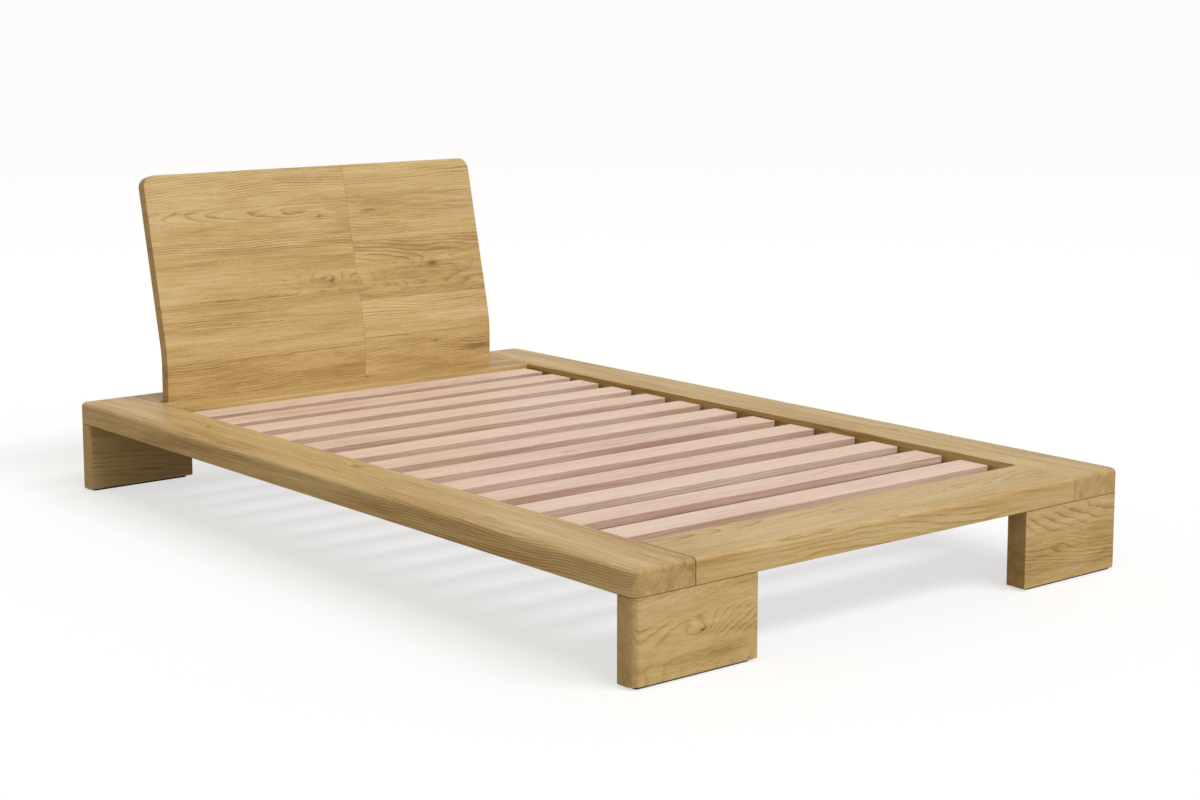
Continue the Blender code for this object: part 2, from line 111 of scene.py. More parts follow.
class BoardSettings(bpy.types.PropertyGroup):
    """Edge treatment of the boards."""

    top_round: bpy.props.FloatProperty(
        name="Top round-over", description="Radius along the outer top edges",
        default=0.010, min=0.002, max=0.015, subtype="DISTANCE", unit="LENGTH")
    corner_round: bpy.props.FloatProperty(
        name="Corner round", description="Radius of the upright corners at the bed's four corners",
        default=0.020, min=0.002, max=0.030, subtype="DISTANCE", unit="LENGTH")
    leg_back_round: bpy.props.FloatProperty(
        name="Leg back round", description="Radius of the legs' other upright outer corners",
        default=0.008, min=0.002, max=0.020, subtype="DISTANCE", unit="LENGTH")
    eased_edge: bpy.props.FloatProperty(
        name="Eased edge", description="Radius of every other arris",
        default=0.0013, min=0.0003, max=0.003, subtype="DISTANCE", unit="LENGTH")
    slat_under_round: bpy.props.FloatProperty(
        name="Slat underside round", description="Radius of the slats' long lower edges",
        default=0.005, min=0.001, max=0.008, subtype="DISTANCE", unit="LENGTH")
    slat_edge: bpy.props.FloatProperty(
        name="Slat edge", description="Radius of the slats' arrises",
        default=0.0015, min=0.0003, max=0.003, subtype="DISTANCE", unit="LENGTH")


class HeadboardSettings(bpy.types.PropertyGroup):
    """Shape of the headboard."""

    lean: bpy.props.FloatProperty(
        name="Lean", description="How far the upper part leans back",
        default=math.radians(13), subtype="ANGLE", unit="ROTATION")
    bend_radius: bpy.props.FloatProperty(
        name="Bend radius", description="Radius of the front face at the bend",
        default=0.30, subtype="DISTANCE", unit="LENGTH")
    bend_height: bpy.props.FloatProperty(
        name="Bend height", description="Where the upright and leaning faces would meet",
        default=0.346, subtype="DISTANCE", unit="LENGTH")
    corner: bpy.props.FloatProperty(
        name="Corner radius", description="Radius of the two top corners",
        default=0.030, subtype="DISTANCE", unit="LENGTH")
    edge: bpy.props.FloatProperty(
        name="Edge radius", description="Radius round the panel's face",
        default=0.0028, subtype="DISTANCE", unit="LENGTH")


class FinishSettings(bpy.types.PropertyGroup):
    """Colours of the finishes."""

    oak_light: bpy.props.FloatVectorProperty(
        name="Oak, palest", description="Palest wood between the rings",
        default=(0.600, 0.440, 0.210), size=3, min=0, max=1, subtype="COLOR")
    oak_mid: bpy.props.FloatVectorProperty(
        name="Oak, ordinary", description="The oak's ordinary tone",
        default=(0.510, 0.335, 0.125), size=3, min=0, max=1, subtype="COLOR")
    oak_dark: bpy.props.FloatVectorProperty(
        name="Oak, rings", description="Late wood and dark streaks",
        default=(0.320, 0.176, 0.046), size=3, min=0, max=1, subtype="COLOR")
    oak_knot: bpy.props.FloatVectorProperty(
        name="Oak, knots", description="Hearts of the knots",
        default=(0.110, 0.052, 0.014), size=3, min=0, max=1, subtype="COLOR")
    beech_light: bpy.props.FloatVectorProperty(
        name="Beech, palest", description="Palest wood of the slats",
        default=(0.800, 0.630, 0.510), size=3, min=0, max=1, subtype="COLOR")
    beech_mid: bpy.props.FloatVectorProperty(
        name="Beech, ordinary", description="The slats' ordinary tone",
        default=(0.720, 0.530, 0.415), size=3, min=0, max=1, subtype="COLOR")
    beech_dark: bpy.props.FloatVectorProperty(
        name="Beech, rings", description="Darker lines of the slats",
        default=(0.480, 0.290, 0.205), size=3, min=0, max=1, subtype="COLOR")
    # Painted shade: the ledgers' near-black tone stands for the dark gaps at the slats' ends.
    ledger_painted_shade: bpy.props.FloatVectorProperty(
        name="Ledgers", description="Dark stain of the strips under the slats",
        default=(0.055, 0.038, 0.028), size=3, min=0, max=1, subtype="COLOR")


class StudioSettings(bpy.types.PropertyGroup):
    """Floor, lights and camera."""

    floor_colour: bpy.props.FloatVectorProperty(
        name="Floor", description="Colour of the pale floor",
        default=(0.355, 0.353, 0.352), size=3, min=0, max=1, subtype="COLOR")
    floor_glow: bpy.props.FloatProperty(
        name="Floor glow", description="Light of the floor's own, which keeps shadows pale",
        default=0.640, min=0, max=2)
    key_power: bpy.props.FloatProperty(
        name="Key", description="Strength of the soft light from the foot end",
        default=2.2, min=0)
    low_surround: bpy.props.FloatProperty(
        name="Low surround", description="Brightness of the surround near the floor",
        default=1.0, min=0, max=3)
    high_surround: bpy.props.FloatProperty(
        name="High surround", description="Brightness of the surround overhead",
        default=0.30, min=0, max=3)
    right_bias: bpy.props.FloatProperty(
        name="Right bias", description="How much brighter the right of the surround is",
        default=0.0, min=-1, max=1)
    left_tone: bpy.props.FloatVectorProperty(
        name="Left tone", description="Warm tone of the surround's left side",
        default=(1.0, 0.91, 0.70), size=3, min=0, max=1, subtype="COLOR")
    lens: bpy.props.FloatProperty(
        name="Lens", description="Focal length of the camera",
        default=66.887, min=20, max=200, subtype="DISTANCE_CAMERA")


def settings(name):
    """One group of the scene's settings."""
    return getattr(bpy.context.scene, name)


# Node building

class Wiring:
    """Short calls for adding and joining shader nodes."""

    def __init__(self, tree):
        self.tree = tree

    def add(self, kind, inputs=(), **facts):
        """A node with its properties set and its inputs fed."""
        node = self.tree.nodes.new(kind)
        for name, value in facts.items():
            setattr(node, name, value)
        for key, value in dict(inputs).items():
            self.feed(node.inputs[key], value)
        return node

    def feed(self, socket, value):
        """Joins a socket to another, or sets its plain value."""
        if isinstance(value, bpy.types.NodeSocket):
            self.tree.links.new(value, socket)
        else:
            socket.default_value = value

    def maths(self, operation, first, second=0.0, third=0.0, clamp=False):
        node = self.add("ShaderNodeMath", {0: first, 1: second, 2: third},
                        operation=operation, use_clamp=clamp)
        return node.outputs[0]

    def vector(self, operation, first, second=(0, 0, 0)):
        node = self.add("ShaderNodeVectorMath", {0: first, 1: second}, operation=operation)
        return node.outputs["Value" if operation in ("LENGTH", "DOT_PRODUCT") else "Vector"]

    def noise(self, place, stretch, detail=2.0, roughness=0.5, distortion=0.0):
        """Noise with its own number of cycles a metre along each axis."""
        stretched = self.vector("MULTIPLY", place, stretch)
        node = self.add("ShaderNodeTexNoise", {
            "Vector": stretched, "Scale": 1.0, "Detail": detail, "Roughness": roughness,
            "Distortion": distortion})
        return node.outputs["Fac"]

    def spread(self, value, low, high, to_low=0.0, to_high=1.0):
        """Eases a value from one range to another and holds it at the ends."""
        node = self.add("ShaderNodeMapRange", {
            "Value": value, "From Min": low, "From Max": high, "To Min": to_low,
            "To Max": to_high}, clamp=True)
        node.interpolation_type = "SMOOTHSTEP"
        return node.outputs["Result"]

    def ramp(self, value, stops):
        """A colour, or a grey from a plain number, for each stop of a value."""
        node = self.add("ShaderNodeValToRGB", {"Fac": value})
        points = node.color_ramp.elements
        while len(points) < len(stops):
            points.new(0.5)
        for point, (position, colour) in zip(points, stops):
            point.position = position
            if not hasattr(colour, "__len__"):
                colour = (colour,) * 3
            point.color = (*colour, 1.0)
        return node.outputs["Color"]

    def mix(self, share, first, second):
        """A share of the second colour over the first."""
        node = self.add("ShaderNodeMix", data_type="RGBA")
        self.feed(node.inputs[0], share)
        for socket, value in ((node.inputs[6], first), (node.inputs[7], second)):
            if not isinstance(value, bpy.types.NodeSocket):
                value = (*value[:3], 1.0)
            self.feed(socket, value)
        return node.outputs[2]


def new_group(name, inputs, outputs):
    """An empty node group with the named sockets, its wiring and its two end nodes."""
    group = bpy.data.node_groups.new(name, "ShaderNodeTree")
    for label, kind, value in inputs:
        socket = group.interface.new_socket(label, in_out="INPUT", socket_type=kind)
        if value is not None:
            socket.default_value = value
    for label, kind in outputs:
        group.interface.new_socket(label, in_out="OUTPUT", socket_type=kind)
    wire = Wiring(group)
    return group, wire, wire.add("NodeGroupInput"), wire.add("NodeGroupOutput")


# Noises of the timber's figure: cycles a metre along the fibres and the two ways across them,
# then detail, roughness and distortion.
FIGURE_NOISES = {
    "bend": ((2.2, 7.0, 7.0), 1.0, 0.5, 0.0),
    "ripple": ((7.0, 26.0, 26.0), 3.0, 0.5, 0.0),
    "ring strength": ((1.1, 16.0, 16.0), 2.0, 0.5, 0.0),
    "streaks": ((2.6, 55.0, 55.0), 3.0, 0.6, 0.3),
    "fibres": ((6.0, 300.0, 300.0), 4.0, 0.72, 0.2),
    "clouds": ((1.6, 9.0, 9.0), 2.0, 0.5, 0.0),
    "pores": ((70.0, 1500.0, 1500.0), 2.0, 0.5, 0.0),
    "rays": ((110.0, 90.0, 420.0), 1.0, 0.5, 0.0),
    "ray patches": ((3.0, 14.0, 14.0), 1.0, 0.5, 0.0),
}
# What those noises are spread to: from and to in the noise, then what these become
FIGURE_SPREADS = {
    "ring strength": (0.38, 0.62, 0.15, 1.15),
    "early wood": (0.30, 0.70, 1.0, 0.35),
    "pores": (0.57, 0.70),
    "rays": (0.60, 0.74),
    "ray patches": (0.50, 0.66),
}
RIPPLE_DEPTH = 0.0100
# Darkness of one year's growth, from its early wood to its late wood
YEAR_STOPS = ((0.0, 0.10), (0.40, 0.12), (0.70, 0.45), (0.86, 1.0), (0.94, 0.85), (1.0, 0.10))
YEAR_MIDDLE = 0.34


def figured_timber():
    """The figure of sawn timber: rings round the heart of the log, fibres, pores and rays.

    Grain is a place in the log: along the fibres, then two ways across, from the heart.
    """
    known = bpy.data.node_groups.get("Figured timber")
    if known:
        return known
    number = "NodeSocketFloat"
    group, wire, given, result = new_group(
        "Figured timber",
        [("Grain", "NodeSocketVector", None), ("Bulge", number, 0.0),
         ("Ring Spacing", number, 0.0055), ("Wander", number, 0.022)],
        [("Rings", number), ("Streaks", number), ("Fibres", number), ("Clouds", number),
         ("Pores", number), ("Rays", number)])
    grain = given.outputs["Grain"]
    noises = {part: wire.noise(grain, *facts) for part, facts in FIGURE_NOISES.items()}
    across = wire.vector("MULTIPLY", grain, (0, 1, 1))
    radius = wire.vector("LENGTH", across)
    bend = wire.maths("SUBTRACT", noises["bend"], 0.5)
    ripple = wire.maths("SUBTRACT", noises["ripple"], 0.5)
    wander = wire.maths("MULTIPLY", given.outputs["Wander"], 2.0)
    radius = wire.maths("MULTIPLY_ADD", bend, wander, radius)
    radius = wire.maths("MULTIPLY_ADD", ripple, RIPPLE_DEPTH, radius)
    radius = wire.maths("ADD", radius, given.outputs["Bulge"])
    turn = wire.maths("DIVIDE", radius, given.outputs["Ring Spacing"])
    year = wire.maths("FRACT", turn)
    rings = wire.ramp(year, YEAR_STOPS)
    spread = {part: wire.spread(year if part == "early wood" else noises[part], *facts)
              for part, facts in FIGURE_SPREADS.items()}
    centred = wire.maths("SUBTRACT", rings, YEAR_MIDDLE)
    rings = wire.maths("MULTIPLY", centred, spread["ring strength"])
    pores = wire.maths("MULTIPLY", spread["pores"], spread["early wood"])
    rays = wire.maths("MULTIPLY", spread["rays"], spread["ray patches"])
    for label, value in (("Rings", rings), ("Streaks", noises["streaks"]),
                         ("Fibres", noises["fibres"]), ("Clouds", noises["clouds"]),
                         ("Pores", pores), ("Rays", rays)):
        wire.feed(result.inputs[label], value)
    return group


# A knot's outline is torn by a noise; its heart and stain fade between these distances, in sizes
KNOT_NOISE = ((45.0, 260.0, 260.0), 3.0, 0.6)
KNOT_TEAR = 2.4
KNOT_HEART = (0.20, 1.30, 1.0, 0.0)
KNOT_STAIN = (0.3, 3.6, 1.0, 0.0)
NATURAL_BASE = 2.718


def knot_group():
    """A knot: how far it pushes the rings aside, its dark heart and the stain round it."""
    known = bpy.data.node_groups.get("Knot")
    if known:
        return known
    number = "NodeSocketFloat"
    group, wire, given, result = new_group(
        "Knot",
        [("Grain", "NodeSocketVector", None), ("Centre", "NodeSocketVector", None),
         ("Scale", "NodeSocketVector", None), ("Push", number, 0.01),
         ("Reach", number, 2.5), ("Bulge", number, 0.0)],
        [("Bulge", number), ("Heart", number), ("Stain", number)])
    apart = wire.vector("SUBTRACT", given.outputs["Grain"], given.outputs["Centre"])
    apart = wire.vector("MULTIPLY", apart, given.outputs["Scale"])
    distance = wire.vector("LENGTH", apart)
    ragged = wire.maths("SUBTRACT", wire.noise(given.outputs["Grain"], *KNOT_NOISE), 0.5)
    torn = wire.maths("MULTIPLY_ADD", ragged, KNOT_TEAR, distance)
    squared = wire.maths("POWER", wire.maths("DIVIDE", distance, given.outputs["Reach"]), 2.0)
    falling = wire.maths("POWER", NATURAL_BASE, wire.maths("MULTIPLY", squared, -1.0))
    wire.feed(result.inputs["Bulge"],
              wire.maths("MULTIPLY_ADD", falling, given.outputs["Push"], given.outputs["Bulge"]))
    wire.feed(result.inputs["Heart"], wire.spread(torn, *KNOT_HEART))
    wire.feed(result.inputs["Stain"], wire.spread(torn, *KNOT_STAIN))
    return group


def add_group(wire, group, inputs):
    """A use of a node group with its inputs fed."""
    node = wire.add("ShaderNodeGroup", node_tree=group)
    for key, value in inputs.items():
        wire.feed(node.inputs[key], value)
    return node


def blank_finish(name):
    """A new material with its wiring and its shader."""
    material = bpy.data.materials.new(name)
    material.use_nodes = True
    return material, Wiring(material.node_tree), material.node_tree.nodes["Principled BSDF"]


def relief(wire, shader, height, distance, strength):
    """Fine surface relief from a height."""
    bump = wire.add("ShaderNodeBump", {"Height": height, "Distance": distance,
                                       "Strength": strength})
    wire.feed(shader.inputs["Normal"], bump.outputs["Normal"])


# How much each part of the figure darkens the wood; the tones are met at the three levels
TONE_LEVELS = (0.12, 0.50, 0.92)
RING_SHARE = 0.50
END_RING_SHARE = 0.02         # added on end grain
FIGURE_SHARES = {"Streaks": 1.05, "Fibres": 1.00, "Clouds": 0.85}
RAY_SHARE = -0.16
STAIN_SHARE = 0.20

# How much of a colour is laid over the tones, and that colour as a share of the dark tone
PORE_COVER, PORE_SHADE = 0.42, 0.50
HEART_COVER = 0.88
END_GRAIN_COVER, END_GRAIN_SHADE = 0.26, 0.86
ARRIS_COVER, ARRIS_SHADE = 0.12, 0.80
SEAM_SHADE = 0.35
SEAM_NEAR, SEAM_FAR = 0.0002, 0.0016

# How much rougher fibres and pores are, and how far each part stands up or lies in the surface
FIBRE_ROUGHNESS, MEAN_FIBRE_ROUGHNESS = 0.20, 0.08
PORE_ROUGHNESS = 0.18
PORE_RELIEF, RING_RELIEF, SEAM_RELIEF = -0.7, 0.35, -0.8
RELIEF_STRENGTH = 0.8
TIMBER_IOR = 1.46


def shaded(colour, share):
    """A colour times a share, which darkens it below 1."""
    return [part * share for part in colour]


def timber(name, tones, heart_colour, knots=(), ring_spacing=0.0055, wander=0.022, contrast=1.0,
           roughness=(0.44, 0.62), bump=0.00035, seam_share=0.30):
    """A wood finish.

    The tones run from pale to dark.  Each knot is its place in the log, its length and width, how
    far it pushes the rings, how many sizes that reaches, and how dark it is.
    """
    material, wire, shader = blank_finish(name)
    grain = wire.add("ShaderNodeAttribute", attribute_name="grain").outputs["Vector"]
    facts = wire.add("ShaderNodeAttribute", attribute_name="board").outputs["Vector"]
    parts = wire.add("ShaderNodeSeparateXYZ", {0: facts})
    tint, end_grain, arris = parts.outputs
    seams = wire.add("ShaderNodeAttribute", attribute_name="seams").outputs["Vector"]
    bulge, hearts, stains = 0.0, [], []
    for place, (along, width), push, reach, darkness in knots:
        knot = add_group(wire, knot_group(), {
            "Grain": grain, "Centre": place, "Scale": (1 / along, 1 / width, 0.0),
            "Push": push, "Reach": reach, "Bulge": bulge})
        bulge = knot.outputs["Bulge"]
        hearts.append(wire.maths("MULTIPLY", knot.outputs["Heart"], darkness))
        stains.append(wire.maths("MULTIPLY", knot.outputs["Stain"], darkness))
    figure = add_group(wire, figured_timber(), {
        "Grain": grain, "Bulge": bulge, "Ring Spacing": ring_spacing, "Wander": wander})
    ring_share = wire.maths("MULTIPLY_ADD", end_grain, END_RING_SHARE * contrast,
                            RING_SHARE * contrast)
    level = wire.maths("MULTIPLY_ADD", figure.outputs["Rings"], ring_share, 0.5)
    for label, share in FIGURE_SHARES.items():
        centred = wire.maths("SUBTRACT", figure.outputs[label], 0.5)
        level = wire.maths("MULTIPLY_ADD", centred, share * contrast, level)
    level = wire.maths("ADD", level, tint)
    level = wire.maths("MULTIPLY_ADD", figure.outputs["Rays"], RAY_SHARE * contrast, level)
    for darkening in stains:
        level = wire.maths("MULTIPLY_ADD", darkening, STAIN_SHARE, level)
    dark = tones[-1]
    colour = wire.ramp(level, list(zip(TONE_LEVELS, tones)))
    colour = wire.mix(wire.maths("MULTIPLY", figure.outputs["Pores"], PORE_COVER), colour,
                      shaded(dark, PORE_SHADE))
    for heart in hearts:
        colour = wire.mix(wire.maths("MULTIPLY", heart, HEART_COVER), colour, heart_colour)
    colour = wire.mix(wire.maths("MULTIPLY", end_grain, END_GRAIN_COVER), colour,
                      shaded(dark, END_GRAIN_SHADE))
    colour = wire.mix(wire.maths("MULTIPLY", arris, ARRIS_COVER), colour,
                      shaded(dark, ARRIS_SHADE))
    split = wire.add("ShaderNodeSeparateXYZ", {0: seams}).outputs
    nearest = wire.maths("MINIMUM", wire.maths("MINIMUM", split[0], split[1]), split[2])
    seam = wire.spread(nearest, SEAM_NEAR, SEAM_FAR, 1.0, 0.0)
    colour = wire.mix(wire.maths("MULTIPLY", seam, seam_share), colour, shaded(dark, SEAM_SHADE))
    wire.feed(shader.inputs["Base Color"], colour)
    rough = wire.maths("MULTIPLY_ADD", figure.outputs["Fibres"], FIBRE_ROUGHNESS,
                       roughness[0] - MEAN_FIBRE_ROUGHNESS)
    rough = wire.maths("MULTIPLY_ADD", figure.outputs["Pores"], PORE_ROUGHNESS, rough)
    rough = wire.maths("MULTIPLY_ADD", end_grain, roughness[1] - roughness[0], rough, clamp=True)
    wire.feed(shader.inputs["Roughness"], rough)
    height = wire.maths("MULTIPLY_ADD", figure.outputs["Pores"], PORE_RELIEF,
                        figure.outputs["Fibres"])
    height = wire.maths("MULTIPLY_ADD", figure.outputs["Rings"], RING_RELIEF, height)
    height = wire.maths("MULTIPLY_ADD", seam, SEAM_RELIEF, height)
    relief(wire, shader, height, bump, RELIEF_STRENGTH)
    shader.inputs["IOR"].default_value = TIMBER_IOR
    return material


# Board building

def rounded_outline(low, high, radii):
    """A rectangle in plan as points, its corners rounded by the four radii."""
    corners = [(low[0], low[1]), (high[0], low[1]), (high[0], high[1]), (low[0], high[1])]
    inward = [(1, 1), (-1, 1), (-1, -1), (1, -1)]
    points = []
    for index, ((x, y), (turn_x, turn_y), radius) in enumerate(zip(corners, inward, radii)):
        if radius == 0:
            points.append((x, y))
            continue
        for step in range(ROUND_STEPS + 1):
            angle = math.radians(180 + 90 * index) + math.pi / 2 * step / ROUND_STEPS
            points.append((x + turn_x * radius + radius * math.cos(angle),
                           y + turn_y * radius + radius * math.sin(angle)))
    return points


def prism(outline, bottom, top):
    """An outline in plan drawn up into a block, as a bmesh."""
    shape = bmesh.new()
    base = [shape.verts.new((x, y, bottom)) for x, y in outline]
    face = shape.faces.new(base)
    drawn = bmesh.ops.extrude_face_region(shape, geom=[face])
    moved = [item for item in drawn["geom"] if isinstance(item, bmesh.types.BMVert)]
    bmesh.ops.translate(shape, verts=moved, vec=(0, 0, top - bottom))
    return shape


def round_over(shape, radius, level, wanted):
    """Rounds the edges at one level whose middle passes the wanted test."""
    chosen = []
    for edge in shape.edges:
        middle = (edge.verts[0].co + edge.verts[1].co) / 2
        if all(abs(vert.co.z - level) < LEVEL_PLAY for vert in edge.verts) and wanted(middle):
            chosen.append(edge)
    bmesh.ops.bevel(shape, geom=chosen, offset=radius, segments=ROUND_STEPS - 2, profile=0.5,
                    affect="EDGES", clamp_overlap=True)


def new_object(name, shape):
    """Puts a bmesh into the scene as an object with outward faces."""
    bmesh.ops.recalc_face_normals(shape, faces=shape.faces)
    mesh = bpy.data.meshes.new(name)
    shape.to_mesh(mesh)
    shape.free()
    thing = bpy.data.objects.new(name, mesh)
    bpy.context.scene.collection.objects.link(thing)
    return thing


def bore_for(fastener, axis):
    """A round cutter that clears a fastener, found from the fastener's own box."""
    low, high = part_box(fastener)
    across = [index for index in range(3) if index != axis]
    radius = max(high[index] - low[index] for index in across) / 2 + BORE_PLAY
    depth = high[axis] - low[axis] + 2 * PAST_FACE
    return round_cutter(f"cutter_{fastener}", (low + high) / 2, axis, radius, depth)


def upright_bore(name, screw, radius, bottom, top):
    """A round cutter round a leg screw's line, between two heights."""
    low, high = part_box(screw)
    middle = (low + high) / 2
    middle.z = (bottom + top) / 2
    return round_cutter(name, middle, 2, radius, top - bottom)


def round_cutter(name, middle, axis, radius, depth):
    """A cylinder along one axis."""
    shape = bmesh.new()
    made = bmesh.ops.create_cone(shape, cap_ends=True, segments=BORE_SIDES, radius1=radius,
                                 radius2=radius, depth=depth)
    if axis != 2:
        turn = Vector((0, 0, 1)).rotation_difference(Vector([axis == 0, axis == 1, 0]))
        bmesh.ops.rotate(shape, verts=made["verts"], matrix=turn.to_matrix())
    bmesh.ops.translate(shape, verts=made["verts"], vec=middle)
    return new_object(name, shape)


def finished(thing, edge, cutters=(), segments=3):
    """Eases a board's arrises, cuts its bores and keeps the result as its mesh."""
    if edge:
        bevel = thing.modifiers.new("eased_edges", "BEVEL")
        bevel.width = edge
        bevel.segments = segments
        bevel.limit_method = "ANGLE"
        bevel.angle_limit = EASED_ANGLE
    for cutter in cutters:
        cut = thing.modifiers.new("bore", "BOOLEAN")
        cut.operation = "DIFFERENCE"
        cut.solver = "EXACT"
        cut.object = cutter
    view = bpy.context.evaluated_depsgraph_get()
    mesh = bpy.data.meshes.new_from_object(thing.evaluated_get(view), depsgraph=view)
    thing.modifiers.clear()
    old = thing.data
    thing.data = mesh
    mesh.name = thing.name
    bpy.data.meshes.remove(old)
    for cutter in cutters:
        bpy.data.objects.remove(cutter)
    return thing


def shade(thing):
    """Smooth rounds and crisp arrises, with the large faces kept flat."""
    thing.data.shade_smooth()
    thing.data.set_sharp_from_angle(angle=SHARP_ANGLE)
    weighted = thing.modifiers.new("even_shading", "WEIGHTED_NORMAL")
    weighted.keep_sharp = True
    weighted.weight = FACE_WEIGHT
    return thing


def write_vectors(mesh, name, values):
    """Stores one vector for each corner of each face."""
    attribute = mesh.attributes.get(name) or mesh.attributes.new(name, "FLOAT_VECTOR", "CORNER")
    attribute.data.foreach_set("vector", np.asarray(values, np.float32).ravel())


def lay_grain(thing, along, across, heart, start, tint=0.0, seams=(), side_shade_tint=0.0):
    """Places a board in its log.

    along and across are axis numbers: the fibres' way, and the way across the board's face.
    heart is how far the log's heart lies from the board's middle, across and through it, and how
    fast the board runs out of line with it; start is where along the log this board begins, which
    keeps boards from looking alike.
    """
    mesh = thing.data
    places = np.zeros(len(mesh.vertices) * 3)
    mesh.vertices.foreach_get("co", places)
    places = places.reshape(-1, 3)
    middle = (places.min(0) + places.max(0)) / 2
    corner = np.zeros(len(mesh.loops), int)
    mesh.loops.foreach_get("vertex_index", corner)
    through = 3 - along - across
    local = places[corner] - middle
    grain = np.stack([local[:, along] + start, local[:, across] - heart[0],
                      local[:, through] - heart[1] + heart[2] * local[:, along]], 1)
    write_vectors(mesh, "grain", grain)
    shaded_side = np.zeros(len(mesh.loops))
    for face in mesh.polygons:
        for loop in face.loop_indices:
            shaded_side[loop] = abs(face.normal[through]) < STEEP_FACE
    # Faces turned away from the board's face take the side tint: painted shade on the slats'
    # sides.
    write_board_facts(mesh, along, tint + side_shade_tint * shaded_side)
    gaps = [np.full(len(mesh.loops), NO_SEAM)] * 3
    for index, (axis, edge) in enumerate(seams):
        gaps[index] = np.abs(places[corner][:, axis] - edge)
    write_vectors(mesh, "seams", np.stack(gaps, 1))


def write_board_facts(mesh, along, tint):
    """Stores each corner's tint, how far it faces along the fibres, and whether it is an arris."""
    facts = np.zeros((len(mesh.loops), 3))
    facts[:, 0] = tint
    for face in mesh.polygons:
        squareness = max(abs(part) for part in face.normal)
        end_grain = (abs(face.normal[along]) - END_GRAIN_FROM) / END_GRAIN_SPAN
        for loop in face.loop_indices:
            facts[loop, 1] = min(max(end_grain, 0), 1)
            facts[loop, 2] = squareness < ARRIS_TURN and face.area < ARRIS_AREA
    write_vectors(mesh, "board", facts)


def dress(piece, material, slot_name, body, *nodes):
    """Gives a piece its finish and its place in the frame."""
    piece.data.materials.clear()
    piece.data.materials.append(material)
    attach(piece, body)
    if nodes:
        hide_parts(*nodes)
    return piece


def oak_tones():
    """The oak's three tones, from pale to dark."""
    finish = settings("bed_finish")
    return tuple(finish.oak_light), tuple(finish.oak_mid), tuple(finish.oak_dark)


def beech_tones():
    """The beech's three tones, from pale to dark."""
    finish = settings("bed_finish")
    return tuple(finish.beech_light), tuple(finish.beech_mid), tuple(finish.beech_dark)


def fasteners(*starts):
    """The frame's fastener nodes whose names start in one of these ways."""
    return sorted(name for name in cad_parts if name.startswith(starts))


# Where each board of the frame was sawn from its log: the log's heart from the board's middle
# (across, through, run-out), where along the log it starts, and its tint.  A knot is (along and
# across from the middle, its length and width, push on the rings, reach in sizes, darkness).
Log = namedtuple("Log", "heart start tint knots", defaults=((),))
LOGS = {
    "side_rail_left": Log((-0.105, -0.085, 0.012), 11.0, -0.02, (
        (-0.02, 0.030, (0.020, 0.006), 0.016, 2.8, 0.45),
        (0.59, 0.010, (0.012, 0.005), 0.010, 2.5, 0.7),
        (-0.60, -0.030, (0.030, 0.006), 0.010, 2.5, 0.3))),
    "side_rail_right": Log((0.12, -0.10, -0.010), 17.3, -0.06, (
        (-0.48, 0.02, (0.018, 0.006), 0.012, 2.6, 0.5),
        (0.35, -0.03, (0.02, 0.005), 0.010, 2.6, 0.3))),
    "foot_rail": Log((0.05, -0.075, 0.045), 23.7, -0.05, (
        (-0.485, 0.012, (0.022, 0.005), 0.010, 2.6, 0.45),
        (0.29, 0.027, (0.024, 0.005), 0.012, 2.6, 0.45),
        (-0.07, 0.02, (0.03, 0.006), 0.012, 2.6, 0.2))),
    "head_strip": Log((-0.06, -0.09, 0.015), 29.1, 0.02),
    # The head rail's darker tint is painted shade from the leaning headboard above it.
    "head_rail": Log((0.09, -0.06, -0.02), 34.9, 0.08),
    "leg_foot_left": Log((-0.062, 0.190, 0.120), 111.0, -0.04, (
        (0.0125, -0.0025, (0.008, 0.004), 0.012, 5.0, 0.95),
        (0.0795, -0.052, (0.045, 0.006), 0.014, 2.0, 0.30))),
    "leg_foot_right": Log((0.105, 0.170, 0.080), 117.0, 0.03, (
        (-0.0505, -0.004, (0.030, 0.006), 0.008, 2.4, 0.30),)),
    "leg_head_left": Log((0.070, 0.160, 0.050), 123.0, -0.10),
    "leg_head_right": Log((-0.080, 0.150, 0.050), 129.0, 0.02),
}
SIDE_PLANK_CONTRAST = 1.25
CROSS_JOINT_SHARE = 0.85      # how dark the lines are where two boards meet
LEG_JOINT_SHARE = 0.75


def oak_board(board, node, finish_name, along, across, seams=(), **look):
    """Lays a board of the frame in its log, and gives it its finish and its place."""
    log = LOGS[node]
    knots = [((log.start + from_middle, to_side - log.heart[0], 0.0), *size_and_force)
             for from_middle, to_side, *size_and_force in log.knots]
    oak = timber(finish_name, oak_tones(), tuple(settings("bed_finish").oak_knot), knots, **look)
    lay_grain(board, along, across, log.heart, log.start, log.tint, seams)
    shade(board)
    dress(board, oak, "frame_wood", "root", node)


# Operators

class BED_OT_side_rails(bpy.types.Operator):
    """Two full-length planks with rounded outer corners and rounded-over outer top edges"""

    bl_idname = "bed.side_rails"
    bl_label = "Side Rails"

    def execute(self, context):
        edges = settings("bed_boards")
        for side, sign in SIDES.items():
            low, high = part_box(f"side_rail_{side}")
            radii = [edges.corner_round if way_x == sign else 0 for way_x, _ in PLAN_CORNERS]
            shape = prism(rounded_outline(low, high, radii), low.z, high.z)
            round_over(shape, edges.top_round, high.z,
                       lambda middle: middle.x * sign > INNER_FACE + SIDE_PLAY)
            rail = new_object(f"{side}_side_plank", shape)
            cutters = [bore_for(name, 0) for name in fasteners("dowel_") if f"_{side}_" in name]
            cutters += [bore_for(name, 2) for name in fasteners("leg_screw_")
                        if name.endswith(f"{side}_side")]
            cutters += [bore_for(name, 0) for name in fasteners(f"ledger_screw_{side}")]
            finished(rail, edges.eased_edge, cutters)
            oak_board(rail, f"side_rail_{side}", f"oiled_oak_{side}_plank", 1, 0,
                      contrast=SIDE_PLANK_CONTRAST)
        return {"FINISHED"}


